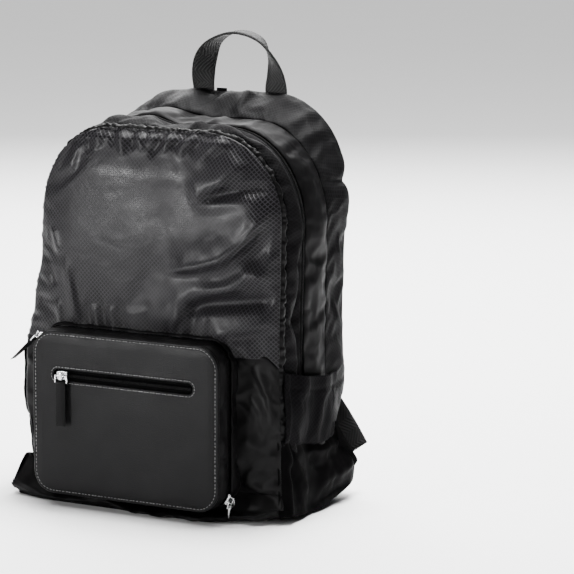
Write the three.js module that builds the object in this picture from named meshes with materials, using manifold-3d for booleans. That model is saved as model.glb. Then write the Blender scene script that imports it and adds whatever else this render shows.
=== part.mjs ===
// A packable backpack, opened out and standing on its own base.
// Millimetres. +Z is up, the front of the bag faces -Y, and +X is to the right of someone in front of it.
// The origin is on the floor, under the middle of the bag.
import * as THREE from 'three';
import { mergeVertices } from 'three/addons/utils/BufferGeometryUtils.js';
import Module from 'manifold-3d';

const wasm = await Module();
wasm.setup();

// Bag body
const bagHeight = 422;
const bagWidth = 280;
const bagDepth = 151;
const clothWall = 1.5;
const seamGap = 0.3;
const rimHeight = 30;
const backBulge = 5;

// Front panel, above and behind the leather pouch
const panelSplitHeight = 171;
const upperDome = 17;
const lowerDome = 10;
const overhang = 5;
const overhangFall = 36;
const rowCrowding = 1.3;

// Bands round the body, each with its width along the depth
const ruffleWidth = 9;
const ruffleHeight = 2.6;
const rufflePitch = 32;
const frontGussetWidth = 35;
const mainZipWidth = 6.5;
const mainZipSink = 2.2;
const flapWidth = 46;
const flapShare = 0.6;
const gussetBulge = 2.5;

// Leather pouch on the front
const pouchWidth = 217;
const pouchHeight = 172;
const pouchCorner = 24;
const pouchDepth = 30;
const pouchBottom = 14;
const pouchOffset = -20;
const leatherWall = 2;
const leatherPillow = 3;
const pouchFlare = 6;
const pouchFlareBelow = 1;
const pouchZipWidth = 5;
const pouchZipSink = 1.2;
const pouchFrontStrip = 14;
const pouchSink = 3;

// Zipped slot in the leather
const slotLength = 163;
const slotHeight = 11.5;
const slotBelowTop = 45;
const slotOffset = -1.5;
const slotEndFlat = 0.8;
const tapeMargin = 6;
const tapeWall = 0.9;
const coilWidth = 5.6;
const coilHeight = 1.4;
const coilSlope = 0.6;

// Zip sliders and pulls
const sliderLength = 12;
const sliderWidth = 8.4;
const sliderHeight = 3.2;
const sliderBevel = 0.6;
const bridgeWidth = 3;
const bridgeLength = 7.4;
const bridgeBar = 1.3;
const bridgeRise = 3;
const bridgeSunk = 0.3;
const ringWidth = 15;
const ringHeight = 8;
const ringBar = 1.2;
const ringStand = 2.1;
const eyeWall = 0.85;
const eyeClearance = 0.25;
const pullWidth = 11.6;
const pullLength = 48;
const pullWall = 2.4;
const sidePullLength = 38;
const sideSliderAngle = 25;
const sidePullAngle = 46;
const endPullLength = 14;
const endPullWidth = 5;
const endSliderAngle = -24;
const endPullAngle = 12;

// Side pockets
const pocketTop = 157;
const pocketBottom = 84;
const pocketDrop = 16;
const pocketReach = 112;
const pocketStart = 3;
const pocketPuff = 9;
const pocketHem = 11;
const hemWall = 2.6;
const pocketClear = 0.6;

// Carry handle
const handleWidth = 25;
const handleWall = 2.6;
const handleSpan = 86;
const handleRise = 62;
const handleOffset = 12;
const handleTail = 26;
const handleLean = 3;
const tabWidth = 12;
const tabHeight = 5;
const tabWall = 1.6;
const tabOffset = -8;

// Shoulder straps and their webbing
const strapWidth = 56;
const strapPad = 7;
const strapDrop = 28;
const strapBottom = 150;
const strapSpread = 48;
const strapStandOff = 24;
const strapDrift = 38;
const webbingWidth = 25;
const webbingWall = 1.6;
const adjusterWidth = 34;
const adjusterHeight = 14;
const adjusterWall = 5;
const webbingLead = 12;
const webbingSag = 5;
const webbingEnd = 44;
const webbingEndOut = 6;

// Corner wings that hold the webbing
const wingReach = 15;
const wingTop = 86;
const wingTip = 38;
const wingFoot = 14;
const wingRun = 34;
const wingWall = 2.4;
const wingTaper = 0.7;
const wingSwell = 3.75;
const wingBlunt = 0.9;
const wingClearLeft = 1.5;
const wingClearRight = 0.9;

const frontY = -bagDepth / 2;
const backY = bagDepth / 2;
const strapTop = bagHeight - strapDrop;
const pouchFace = frontY - lowerDome - pouchDepth;
const pouchCentreZ = pouchBottom + pouchHeight / 2;

const colours = {
  ripstop: 0x2b292c,
  smooth: 0x242326,
  webbing: 0x1f1f21,
  leather: 0x2c2c2e,
  tape: 0x141415,
  steel: 0xb9babd,
  plastic: 0x19191b,
};

function material(kind, roughness, metalness = 0) {
  return new THREE.MeshStandardMaterial({ color: colours[kind], roughness, metalness });
}

// Value at a place between the rows of a table
function between(rows, place, column, ease = (share) => share) {
  const last = rows.length - 1;
  if (place <= rows[0].at) return rows[0][column];
  if (place >= rows[last].at) return rows[last][column];
  const next = rows.findIndex((row) => row.at >= place);
  const a = rows[next - 1];
  const b = rows[next];
  return a[column] + (b[column] - a[column]) * ease((place - a.at) / (b.at - a.at));
}

// The same, but eased, so that no row shows as a kink
function eased(rows, place, column) {
  return between(rows, place, column, (share) => THREE.MathUtils.smoothstep(share, 0, 1));
}

// Arch outlines from front to back. at: share of the depth. half: share of half the width.
// top: share of the height. across, down: the corner's size as shares of the width and the height.
const archRows = [
  { at: 0, half: 0.989, top: 0.936, across: 0.286, down: 0.21 },
  { at: 0.29, half: 1, top: 0.94, across: 0.3, down: 0.24 },
  { at: 0.635, half: 1.018, top: 0.946, across: 0.3, down: 0.25 },
  { at: 0.9, half: 1, top: 0.992, across: 0.3, down: 0.23 },
  { at: 1, half: 0.98, top: 1, across: 0.29, down: 0.21 },
];

// How far each side stands out as the bag slumps. at: share of the height. left, right: shares of the width.
const slumpRows = [
  { at: 0.05, left: 0.034, right: 0.004 },
  { at: 0.14, left: 0.06, right: 0 },
  { at: 0.25, left: 0.086, right: -0.002 },
  { at: 0.37, left: 0.082, right: -0.01 },
  { at: 0.49, left: 0.044, right: -0.008 },
  { at: 0.62, left: 0.01, right: -0.004 },
  { at: 0.8, left: 0, right: 0 },
];

// Shares of the way round an arch that each stretch takes
const sideShare = 0.24;
const cornerShare = 0.13;
const topShare = 1 - 2 * sideShare - 2 * cornerShare;

function slump(z, side) {
  return between(slumpRows, z / bagHeight, side < 0 ? 'left' : 'right') * bagWidth;
}

function arch(depthShare) {
  return {
    half: (between(archRows, depthShare, 'half') * bagWidth) / 2,
    top: between(archRows, depthShare, 'top') * bagHeight,
    across: between(archRows, depthShare, 'across') * bagWidth,
    down: between(archRows, depthShare, 'down') * bagHeight,
  };
}

// Half width of one side of the bag at a height
function halfAt(depthShare, z, side) {
  const { half, top, across, down } = arch(depthShare);
  const rise = THREE.MathUtils.clamp((z - (top - down)) / down, 0, 1);
  const corner = across * (1 - Math.sqrt(1 - rise * rise));
  return half - corner + slump(z, side);
}

// Point on the arch: u runs up the left side, over the top and down the right side
function archPoint(depthShare, u) {
  const { half, top, across, down } = arch(depthShare);
  const side = u < 0.5 ? -1 : 1;
  const way = Math.min(u, 1 - u);
  const y = frontY + depthShare * bagDepth;
  if (way < sideShare) {
    const z = rimHeight + (top - down - rimHeight) * (way / sideShare);
    return new THREE.Vector3(side * (half + slump(z, side)), y, z);
  }
  if (way < sideShare + cornerShare) {
    const angle = ((way - sideShare) / cornerShare) * (Math.PI / 2);
    const z = top - down + down * Math.sin(angle);
    return new THREE.Vector3(side * (half - across + across * Math.cos(angle) + slump(z, side)), y, z);
  }
  const share = (way - sideShare - cornerShare) / (topShare / 2);
  return new THREE.Vector3(side * (half - across) * (1 - share), y, top);
}

// Direction out of the bag, square to the arch, without a part along the depth
function archOutward(depthShare, u) {
  const step = 0.002;
  const before = archPoint(depthShare, Math.max(u - step, 0));
  const after = archPoint(depthShare, Math.min(u + step, 1));
  return new THREE.Vector3(before.z - after.z, 0, after.x - before.x).normalize();
}

// Closed wall between an outer grid of points and the same grid moved inwards.
// point(u, v) is the outer face, inward(u, v, point) the way through the wall.
function sheet(point, inward, countU, countV, ring = false) {
  const columns = ring ? countU : countU + 1;
  const positions = [];
  const outer = [];
  for (let j = 0; j <= countV; j++) {
    for (let i = 0; i < columns; i++) {
      outer.push({ u: i / countU, v: j / countV, at: point(i / countU, j / countV) });
    }
  }
  outer.forEach(({ at }) => positions.push(...at.toArray()));
  outer.forEach(({ u, v, at }) => positions.push(...inward(u, v, at).add(at).toArray()));
  const inner = outer.length;
  const index = [];
  const quad = (a, b, c, d) => index.push(a, b, c, a, c, d);
  for (let j = 0; j < countV; j++) {
    for (let i = 0; i < countU; i++) {
      const a = j * columns + i;
      const b = j * columns + ((i + 1) % columns);
      quad(a, b, b + columns, a + columns);
      quad(inner + a, inner + a + columns, inner + b + columns, inner + b);
    }
  }
  const lastRow = countV * columns;
  for (let i = 0; i < countU; i++) {
    const next = (i + 1) % columns;
    quad(inner + i, inner + next, next, i);
    quad(lastRow + i, lastRow + next, inner + lastRow + next, inner + lastRow + i);
  }
  if (!ring) {
    for (let j = 0; j < countV; j++) {
      const low = j * columns;
      const high = low + columns;
      quad(low, high, inner + high, inner + low);
      const right = columns - 1;
      quad(inner + low + right, inner + high + right, high + right, low + right);
    }
  }
  return outwardFacing(positions, index);
}

// Closed solid through a row of closed loops, capped on the first and the last
function loft(loops) {
  const count = loops[0].length;
  const positions = loops.flatMap((loop) => loop.flatMap((at) => at.toArray()));
  const index = [];
  for (let j = 0; j + 1 < loops.length; j++) {
    for (let i = 0; i < count; i++) {
      const a = j * count + i;
      const b = j * count + ((i + 1) % count);
      index.push(a, b, b + count, a, b + count, a + count);
    }
  }
  const last = (loops.length - 1) * count;
  for (let i = 1; i + 1 < count; i++) {
    index.push(0, i + 1, i);
    index.push(last, last + i, last + i + 1);
  }
  return outwardFacing(positions, index);
}

// Geometry whose faces point out, whichever way round its points ran
function outwardFacing(positions, index) {
  let volume = 0;
  const a = new THREE.Vector3();
  const b = new THREE.Vector3();
  const c = new THREE.Vector3();
  for (let i = 0; i < index.length; i += 3) {
    a.fromArray(positions, index[i] * 3);
    b.fromArray(positions, index[i + 1] * 3);
    c.fromArray(positions, index[i + 2] * 3);
    volume += a.dot(b.cross(c));
  }
  const faces = [];
  for (let i = 0; i < index.length; i += 3) {
    if (volume > 0) faces.push(index[i], index[i + 1], index[i + 2]);
    else faces.push(index[i], index[i + 2], index[i + 1]);
  }
  const geometry = new THREE.BufferGeometry();
  geometry.setAttribute('position', new THREE.Float32BufferAttribute(positions, 3));
  geometry.setIndex(faces);
  return geometry;
}

// Joins and cuts with a geometry's shared corners merged
function solid(geometry) {
  const bare = geometry.clone();
  bare.deleteAttribute('normal');
  bare.deleteAttribute('uv');
  const merged = mergeVertices(bare, 1e-4);
  const vertProperties = new Float32Array(merged.attributes.position.array);
  const triVerts = new Uint32Array(merged.index.array);
  return new wasm.Manifold(new wasm.Mesh({ numProp: 3, vertProperties, triVerts }));
}

function geometryOf(manifold) {
  const mesh = manifold.getMesh();
  const geometry = new THREE.BufferGeometry();
  geometry.setAttribute('position', new THREE.BufferAttribute(new Float32Array(mesh.vertProperties), 3));
  geometry.setIndex(new THREE.BufferAttribute(new Uint32Array(mesh.triVerts), 1));
  return geometry;
}

function box(x, y, z, width, depth, height) {
  return new THREE.BoxGeometry(width, depth, height).translate(x, y, z);
}

const group = new THREE.Group();

function add(name, geometry, finish, parent = group) {
  const mesh = new THREE.Mesh(geometry, finish);
  mesh.name = name;
  parent.add(mesh);
  return mesh;
}

// Folds of the front panel. Both ends as shares of half the width and of the height, the fold's
// height as a share of the dome, and its half breadth as a share of the width. A dent is below zero.
const frontFolds = [
  { x0: -0.48, z0: 0.925, x1: -0.47, z1: 0.86, rise: 0.16, breadth: 0.022 },
  { x0: -0.34, z0: 0.93, x1: -0.36, z1: 0.85, rise: 0.2, breadth: 0.022 },
  { x0: -0.22, z0: 0.925, x1: -0.26, z1: 0.85, rise: 0.2, breadth: 0.024 },
  { x0: -0.02, z0: 0.925, x1: -0.1, z1: 0.84, rise: 0.22, breadth: 0.026 },
  { x0: 0.16, z0: 0.93, x1: 0.1, z1: 0.86, rise: 0.16, breadth: 0.024 },
  { x0: 0.34, z0: 0.74, x1: 0.7, z1: 0.82, rise: 0.3, breadth: 0.045 },
  { x0: 0.3, z0: 0.7, x1: 0.88, z1: 0.75, rise: -0.34, breadth: 0.05 },
  { x0: 0.08, z0: 0.57, x1: 0.5, z1: 0.6, rise: 0.3, breadth: 0.05 },
  { x0: 0.5, z0: 0.6, x1: 0.82, z1: 0.7, rise: 0.34, breadth: 0.045 },
  { x0: 0.62, z0: 0.55, x1: 0.92, z1: 0.62, rise: 0.26, breadth: 0.04 },
  { x0: 0.12, z0: 0.5, x1: 0.9, z1: 0.48, rise: -0.5, breadth: 0.06 },
  { x0: 0.3, z0: 0.42, x1: 0.86, z1: 0.47, rise: 0.24, breadth: 0.035 },
  { x0: -0.86, z0: 0.58, x1: -0.8, z1: 0.46, rise: 0.3, breadth: 0.04 },
  { x0: -0.66, z0: 0.5, x1: -0.66, z1: 0.43, rise: 0.22, breadth: 0.024 },
  { x0: -0.5, z0: 0.5, x1: -0.52, z1: 0.43, rise: 0.22, breadth: 0.024 },
  { x0: -0.34, z0: 0.49, x1: -0.38, z1: 0.43, rise: 0.2, breadth: 0.024 },
];

function foldRise(fold, x, z) {
  const ax = (fold.x0 * bagWidth) / 2;
  const az = fold.z0 * bagHeight;
  const dx = (fold.x1 * bagWidth) / 2 - ax;
  const dz = fold.z1 * bagHeight - az;
  const along = ((x - ax) * dx + (z - az) * dz) / (dx * dx + dz * dz);
  const near = THREE.MathUtils.clamp(along, 0, 1);
  const away = Math.hypot(x - ax - dx * near, z - az - dz * near);
  const breadth = fold.breadth * bagWidth;
  return fold.rise * upperDome * Math.exp(-((away / breadth) ** 2));
}

// Dome of the front. at: share of the height. dome: share of the upper dome.
const domeRows = [
  { at: rimHeight / bagHeight, dome: 0.12 },
  { at: 0.16, dome: lowerDome / upperDome },
  { at: 0.4, dome: lowerDome / upperDome },
  { at: 0.5, dome: 0.95 },
  { at: 0.66, dome: 1 },
  { at: 0.82, dome: 0.86 },
  { at: 0.91, dome: 0.5 },
  { at: archRows[0].top, dome: 0 },
];

// Outer face of the front panel at a place on it
function panelY(x, z) {
  const side = x < 0 ? -1 : 1;
  const across = Math.min(Math.abs(x) / halfAt(0, z, side), 1);
  const fall = (1 - across ** 4) ** 0.8;
  const dome = eased(domeRows, z / bagHeight, 'dome') * upperDome;
  const folds = frontFolds.reduce((sum, fold) => sum + foldRise(fold, x, z), 0);
  const still = THREE.MathUtils.smoothstep(z, panelSplitHeight, panelSplitHeight + overhang * 2);
  return frontY - Math.max(fall * (dome + folds * still), 0);
}

// Outer face of the front with the upper panel's lower edge hanging over the lower panel
function frontFace(x, z) {
  if (z < panelSplitHeight) return panelY(x, z);
  const left = halfAt(0, z, -1);
  const share = THREE.MathUtils.clamp((x + left) / (left + halfAt(0, z, 1)), 0, 1);
  const low = 1 - THREE.MathUtils.smoothstep(z, panelSplitHeight, panelSplitHeight + overhangFall);
  return panelY(x, z) - overhang * low * Math.sin(Math.PI * share) ** 0.5;
}

// Upper and lower front panels, in rows from side to side
function frontPanel(low, high, face, countU, countV, forward = 0, wall = clothWall) {
  const point = (u, v) => {
    const z = low + (high - low) * (1 - (1 - v) ** rowCrowding);
    const left = -halfAt(0, z, -1);
    const x = left + (halfAt(0, z, 1) - left) * u;
    return new THREE.Vector3(x, face(x, z) - forward, z);
  };
  return sheet(point, () => new THREE.Vector3(0, wall, 0), countU, countV);
}

const panelTop = archRows[0].top * bagHeight;
const upperPanel = (low, forward, wall) => frontPanel(low, panelTop, frontFace, 24, 18, forward, wall);
const lowerPanel = (high, forward, wall) => frontPanel(rimHeight, high, panelY, 12, 6, forward, wall);
add('front_panel', upperPanel(panelSplitHeight + seamGap), material('ripstop', 0.5));
add('lower_front_panel', lowerPanel(panelSplitHeight), material('smooth', 0.55));

// A band round the body between two places along the depth
function band(from, to, countU, countV, lift) {
  const shareFrom = (from - frontY) / bagDepth;
  const shareTo = (to - frontY) / bagDepth;
  const point = (u, v) => {
    const share = shareFrom + (shareTo - shareFrom) * v;
    return archPoint(share, u).addScaledVector(archOutward(share, u), lift(u, v));
  };
  const inward = (u, v) => {
    const share = shareFrom + (shareTo - shareFrom) * v;
    return archOutward(share, u).multiplyScalar(-clothWall);
  };
  return sheet(point, inward, countU, countV);
}

// Folds that run over the side bands. u: place round the arch. v0, v1: ends across the band.
// rise: height in shares of the bulge. breadth: share of the way round.
const gussetFolds = [
  { u: 0.36, v0: 0.1, v1: 0.9, rise: 1.6, breadth: 0.014 },
  { u: 0.48, v0: 0.2, v1: 1, rise: -1.2, breadth: 0.02 },
  { u: 0.57, v0: 0, v1: 0.9, rise: 2.2, breadth: 0.016 },
  { u: 0.66, v0: 0.1, v1: 0.8, rise: -1.4, breadth: 0.016 },
  { u: 0.76, v0: 0.2, v1: 1, rise: 1.8, breadth: 0.02 },
  { u: 0.84, v0: 0.1, v1: 0.9, rise: -1.6, breadth: 0.018 },
  { u: 0.9, v0: 0.1, v1: 0.9, rise: 1.4, breadth: 0.014 },
  { u: 0.12, v0: 0.1, v1: 0.9, rise: 1.4, breadth: 0.02 },
  { u: 0.22, v0: 0.2, v1: 0.8, rise: -1.2, breadth: 0.02 },
];

function bulge(u, v) {
  const across = Math.sin(Math.PI * v);
  const folds = gussetFolds.reduce((sum, fold) => {
    const inside = THREE.MathUtils.smoothstep(v, fold.v0, fold.v0 + 0.3)
      * (1 - THREE.MathUtils.smoothstep(v, fold.v1 - 0.3, fold.v1));
    return sum + fold.rise * inside * Math.exp(-(((u - fold.u) / fold.breadth) ** 2));
  }, 0);
  return gussetBulge * (across + folds);
}

const archLength = 2 * (bagHeight - rimHeight) + bagWidth;
const ruffles = Math.round(archLength / rufflePitch);
const ruffle = (u, v) => {
  const wave = 0.5 + 0.5 * Math.cos(2 * Math.PI * ruffles * u);
  return ruffleHeight * wave * (0.35 + 0.65 * Math.sin(Math.PI * v));
};

const ruffleStart = frontY + clothWall + seamGap;
const gussetStart = ruffleStart + ruffleWidth + seamGap;
const zipStart = gussetStart + frontGussetWidth + seamGap;
const flapStart = zipStart + mainZipWidth + seamGap;
const rearStart = flapStart + flapWidth + seamGap;
const rearEnd = backY - clothWall - seamGap;
const gussetSteps = 44;
const flapSteps = 40;
const zipSteps = 34;
const ruffleBand = band(ruffleStart, gussetStart - seamGap, ruffles * 3, 2, ruffle);
add('front_zip_ruffle', ruffleBand, material('ripstop', 0.55));
add('front_gusset', band(gussetStart, zipStart - seamGap, gussetSteps, 3, bulge), material('ripstop', 0.5));
add('main_zip', band(zipStart, flapStart - seamGap, zipSteps, 1, () => -mainZipSink), material('tape', 0.7));
const flapBand = band(flapStart, rearStart - seamGap, flapSteps, 2, (u, v) => bulge(u, v) * flapShare);
add('main_flap', flapBand, material('smooth', 0.5));
add('rear_gusset', band(rearStart, rearEnd, gussetSteps, 3, bulge), material('ripstop', 0.5));

// Outer face of the back panel at a place on it
function backFace(x, z) {
  const top = archRows[archRows.length - 1].top * bagHeight;
  const side = x < 0 ? -1 : 1;
  const across = Math.min(Math.abs(x) / halfAt(1, z, side), 1);
  const up = THREE.MathUtils.clamp((z - rimHeight) / (top - rimHeight), 0, 1);
  return backY + backBulge * (1 - across ** 4) * (1 - (2 * up - 1) ** 6);
}

function backPanel() {
  const top = archRows[archRows.length - 1].top * bagHeight;
  const point = (u, v) => {
    const z = rimHeight + (top - rimHeight) * (1 - (1 - v) ** rowCrowding);
    const left = -halfAt(1, z, -1);
    const x = left + (halfAt(1, z, 1) - left) * u;
    return new THREE.Vector3(x, backFace(x, z), z);
  };
  return sheet(point, () => new THREE.Vector3(0, -clothWall, 0), 10, 12);
}
add('back_panel', backPanel(), material('ripstop', 0.5));

// Base. at: share of the way round from the left front corner, along the front, the right side,
// the back and the left side. reach: how far the cloth spreads on the floor past the walls, as a share
// of the depth. lip: height of the spread cloth as a share of the rim height.
const baseRows = [
  { at: 0, reach: 0.18, lip: 0.95 },
  { at: 0.035, reach: 0.17, lip: 0.28 },
  { at: 0.09, reach: 0.15, lip: 0.28 },
  { at: 0.15, reach: 0.2, lip: 0.26 },
  { at: 0.21, reach: 0.19, lip: 0.26 },
  { at: 0.27, reach: 0.07, lip: 0.3 },
  { at: 0.3, reach: -0.09, lip: 0.4 },
  { at: 0.35, reach: -0.04, lip: 0.42 },
  { at: 0.41, reach: 0.03, lip: 0.4 },
  { at: 0.47, reach: 0.04, lip: 0.4 },
  { at: 0.5, reach: -0.04, lip: 0.4 },
  { at: 0.56, reach: 0.01, lip: 0.4 },
  { at: 0.74, reach: 0.01, lip: 0.4 },
  { at: 0.8, reach: -0.04, lip: 0.4 },
  { at: 0.86, reach: 0.03, lip: 0.4 },
  { at: 0.93, reach: 0.08, lip: 0.5 },
  { at: 0.97, reach: 0.15, lip: 0.75 },
  { at: 1, reach: 0.18, lip: 0.95 },
];

// Rings of the base from the seam down to the floor. out: a fixed spread, as a share of the rim height.
// reach: share of the reach. high: share of the lip's height, except on the two rings by the seam,
// where it is a share of the rim height.
const baseRings = [
  { out: 0, reach: 0, high: 1, of: 'rim' },
  { out: 0.1, reach: 0.06, high: 0.66, of: 'rim' },
  { out: 0.12, reach: 0.2, high: 1.15, of: 'lip' },
  { out: 0.1, reach: 0.86, high: 0.96, of: 'lip' },
  { out: 0.1, reach: 1, high: 0.42, of: 'lip' },
  { out: -0.06, reach: 0.93, high: 0, of: 'lip' },
];
const baseFrontShare = 0.3;
const baseSideShare = 0.2;
const baseFlatShare = 0.7;
const baseAround = 44;
const baseSquare = 7;
const lipLimit = 0.6;

// Place on the section of the walls just above the base, and the way out of it
function basePlace(turn) {
  const corners = [
    { at: 0, x: -halfAt(0, rimHeight, -1), y: frontY },
    { at: baseFrontShare, x: halfAt(0, rimHeight, 1), y: frontY },
    { at: baseFrontShare + baseSideShare, x: halfAt(1, rimHeight, 1), y: backY },
    { at: 2 * baseFrontShare + baseSideShare, x: -halfAt(1, rimHeight, -1), y: backY },
    { at: 1, x: -halfAt(0, rimHeight, -1), y: frontY },
  ];
  const x = between(corners, turn, 'x');
  const y = between(corners, turn, 'y');
  const outX = (x / (bagWidth / 2)) ** baseSquare;
  const outY = (y / (bagDepth / 2)) ** baseSquare;
  return { at: new THREE.Vector3(x, y, 0), outward: new THREE.Vector3(outX, outY, 0).normalize() };
}

function basePanel() {
  const loops = baseRings.map((ring) => {
    const loop = [];
    for (let i = 0; i < baseAround; i++) {
      const turn = i / baseAround;
      const place = basePlace(turn);
      const reach = eased(baseRows, turn, 'reach') * bagDepth;
      const lip = eased(baseRows, turn, 'lip') * rimHeight;
      const lipHeight = Math.min(ring.high * lip, rimHeight * lipLimit);
      const height = ring.of === 'rim' ? ring.high * (rimHeight - seamGap) : lipHeight;
      const point = place.at.clone().addScaledVector(place.outward, ring.out * rimHeight + ring.reach * reach);
      point.z = height;
      loop.push(point);
    }
    return loop;
  });
  const edge = loops[loops.length - 1];
  loops.push(edge.map((at) => new THREE.Vector3(at.x * baseFlatShare, at.y * baseFlatShare, 0)));
  return dish(loops, clothWall);
}

// Closed wall of a dish: rings from its rim to its floor, and a flat floor inside the last ring
function dish(loops, wall) {
  const count = loops[0].length;
  const outer = loops.flat();
  const skin = [];
  for (let j = 0; j + 1 < loops.length; j++) {
    for (let i = 0; i < count; i++) {
      const a = j * count + i;
      const b = j * count + ((i + 1) % count);
      skin.push([a, b, b + count], [a, b + count, a + count]);
    }
  }
  const last = (loops.length - 1) * count;
  const flat = loops[loops.length - 1].map((at) => new THREE.Vector2(at.x, at.y));
  THREE.ShapeUtils.triangulateShape(flat, []).forEach(([a, b, c]) => {
    const turned = THREE.ShapeUtils.area([flat[a], flat[b], flat[c]]) < 0;
    skin.push(turned ? [last + a, last + c, last + b] : [last + a, last + b, last + c]);
  });
  const normals = outer.map(() => new THREE.Vector3());
  const edgeA = new THREE.Vector3();
  const edgeB = new THREE.Vector3();
  skin.forEach(([a, b, c]) => {
    edgeA.subVectors(outer[b], outer[a]);
    edgeB.subVectors(outer[c], outer[a]);
    const face = edgeA.clone().cross(edgeB);
    [a, b, c].forEach((corner) => normals[corner].add(face));
  });
  const downward = normals[last].z < 0 ? 1 : -1;
  const inner = outer.map((at, i) => {
    const flatWall = i < count ? normals[i].setZ(0) : normals[i];
    return at.clone().addScaledVector(flatWall.normalize(), -wall * downward);
  });
  const positions = [...outer, ...inner].flatMap((at) => at.toArray());
  const index = skin.flat();
  skin.forEach(([a, b, c]) => index.push(outer.length + a, outer.length + c, outer.length + b));
  for (let i = 0; i < count; i++) {
    const next = (i + 1) % count;
    index.push(outer.length + i, outer.length + next, next, outer.length + i, next, i);
  }
  return outwardFacing(positions, index);
}
add('base_panel', basePanel(), material('smooth', 0.55));

// Outline of the pouch, square to the depth: once round from the middle of its foot, by way of its right side
const outlineFlat = 0.175;
const outlineUpright = 0.125;
const outlineCorner = 0.1;

function outlinePoint(turn, width, height, corner, centreX, centreZ) {
  const halfWidth = width / 2 - corner;
  const halfHeight = height / 2 - corner;
  const line = (share, from, start, length) => ({ share, from, along: [-from[1], from[0]], start, length });
  const turned = (across, up, angle) => ({ share: outlineCorner, centre: [across, up], angle });
  const stops = [
    line(outlineFlat / 2, [0, -1], [0, -halfHeight], halfWidth),
    turned(halfWidth, -halfHeight, -90),
    line(outlineUpright, [1, 0], [halfWidth, -halfHeight], 2 * halfHeight),
    turned(halfWidth, halfHeight, 0),
    line(outlineFlat, [0, 1], [halfWidth, halfHeight], 2 * halfWidth),
    turned(-halfWidth, halfHeight, 90),
    line(outlineUpright, [-1, 0], [-halfWidth, halfHeight], 2 * halfHeight),
    turned(-halfWidth, -halfHeight, 180),
    line(outlineFlat / 2, [0, -1], [-halfWidth, -halfHeight], halfWidth),
  ];
  let left = turn;
  let stop = stops[stops.length - 1];
  for (const candidate of stops) {
    if (left <= candidate.share) {
      stop = candidate;
      break;
    }
    left -= candidate.share;
  }
  const share = Math.min(left / stop.share, 1);
  let away;
  let core;
  if (stop.centre) {
    const angle = THREE.MathUtils.degToRad(stop.angle + 90 * share);
    away = [Math.cos(angle), Math.sin(angle)];
    core = stop.centre;
  } else {
    away = stop.from;
    const run = stop.length * share;
    core = [stop.start[0] + stop.along[0] * run, stop.start[1] + stop.along[1] * run];
  }
  return {
    x: centreX + core[0] + away[0] * corner,
    z: centreZ + core[1] + away[1] * corner,
    outX: away[0],
    outZ: away[1],
  };
}

// Outer face of the leather, flat in the middle and drawn back towards its edge
function leatherY(x, z) {
  const across = Math.abs(x - pouchOffset) / (pouchWidth / 2);
  const up = Math.abs(z - pouchCentreZ) / (pouchHeight / 2);
  const smooth = THREE.MathUtils.smoothstep;
  return pouchFace - leatherPillow * (1 - smooth(across, 0.88, 1)) * (1 - smooth(up, 0.86, 1));
}

const slotX = pouchOffset + slotOffset;
const slotZ = pouchBottom + pouchHeight - slotBelowTop;
const slotCorner = (slotHeight - slotEndFlat) / 2;
const outlineSteps = 40;

// The leather front, a wall round its slot. at: share of the way from its edge to the slot.
const leatherRows = [0, 0.1, 0.25, 0.5, 1];

function pouchLeather() {
  const point = (u, v) => {
    const share = leatherRows[Math.round(v * (leatherRows.length - 1))];
    const edge = outlinePoint(u, pouchWidth, pouchHeight, pouchCorner, pouchOffset, pouchCentreZ);
    const slot = outlinePoint(u, slotLength, slotHeight, slotCorner, slotX, slotZ);
    const x = edge.x + (slot.x - edge.x) * share;
    const z = edge.z + (slot.z - edge.z) * share;
    return new THREE.Vector3(x, leatherY(x, z), z);
  };
  return sheet(point, () => new THREE.Vector3(0, leatherWall, 0), outlineSteps, leatherRows.length - 1, true);
}
add('pouch_leather_front', pouchLeather(), material('leather', 0.45));

// How far the base stands out of the walls at a height below the seam
function baseSpread(z) {
  const share = THREE.MathUtils.clamp((rimHeight - z) / (rimHeight * (1 - baseRings[1].high)), 0, 1);
  return rimHeight * baseRings[2].out * share + baseRings[2].reach * 0.2 * bagDepth * share;
}

// Where the pouch meets what is behind it
function behindPouch(x, z) {
  return z < rimHeight ? frontY - baseSpread(z) : Math.min(frontFace(x, z), frontY - baseSpread(z));
}

// One strip of the pouch's side, with its ends as shares of the way from the leather to the bag
function pouchStrip(from, to, sink, steps) {
  const start = pouchFace + leatherWall + seamGap;
  const grown = (u, share) => {
    const edge = outlinePoint(u, pouchWidth, pouchHeight, pouchCorner, pouchOffset, pouchCentreZ);
    const below = Math.max(-edge.outZ, 0);
    const flare = (pouchFlare + (pouchFlareBelow - pouchFlare) * below) * share - leatherWall / 2 - sink;
    return { x: edge.x + edge.outX * flare, z: edge.z + edge.outZ * flare, outX: edge.outX, outZ: edge.outZ };
  };
  const point = (u, v) => {
    const along = start + (from + (to - from) * v);
    const last = grown(u, 1);
    const inside = { x: last.x - last.outX * clothWall, z: last.z - last.outZ * clothWall };
    const sunk = last.z < rimHeight + seamGap ? -seamGap : pouchSink;
    const end = Math.min(behindPouch(last.x, last.z), behindPouch(inside.x, inside.z)) + sunk;
    const share = THREE.MathUtils.clamp((along - start) / (pouchDepth - leatherWall), 0, 1);
    const place = grown(u, share);
    const y = to >= pouchDepth ? along + (end - (start + to)) * v : along;
    return new THREE.Vector3(place.x, y, place.z);
  };
  const inward = (u) => {
    const edge = outlinePoint(u, pouchWidth, pouchHeight, pouchCorner, pouchOffset, pouchCentreZ);
    return new THREE.Vector3(-edge.outX * clothWall, 0, -edge.outZ * clothWall);
  };
  return sheet(point, inward, outlineSteps, steps, true);
}
const pouchZipStart = pouchFrontStrip + seamGap;
const pouchRearStart = pouchZipStart + pouchZipWidth + seamGap;
add('pouch_front_strip', pouchStrip(0, pouchFrontStrip, 0, 1), material('smooth', 0.55));
const zipStrip = pouchStrip(pouchZipStart, pouchZipStart + pouchZipWidth, pouchZipSink, 1);
add('pouch_zip', zipStrip, material('tape', 0.7));

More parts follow.
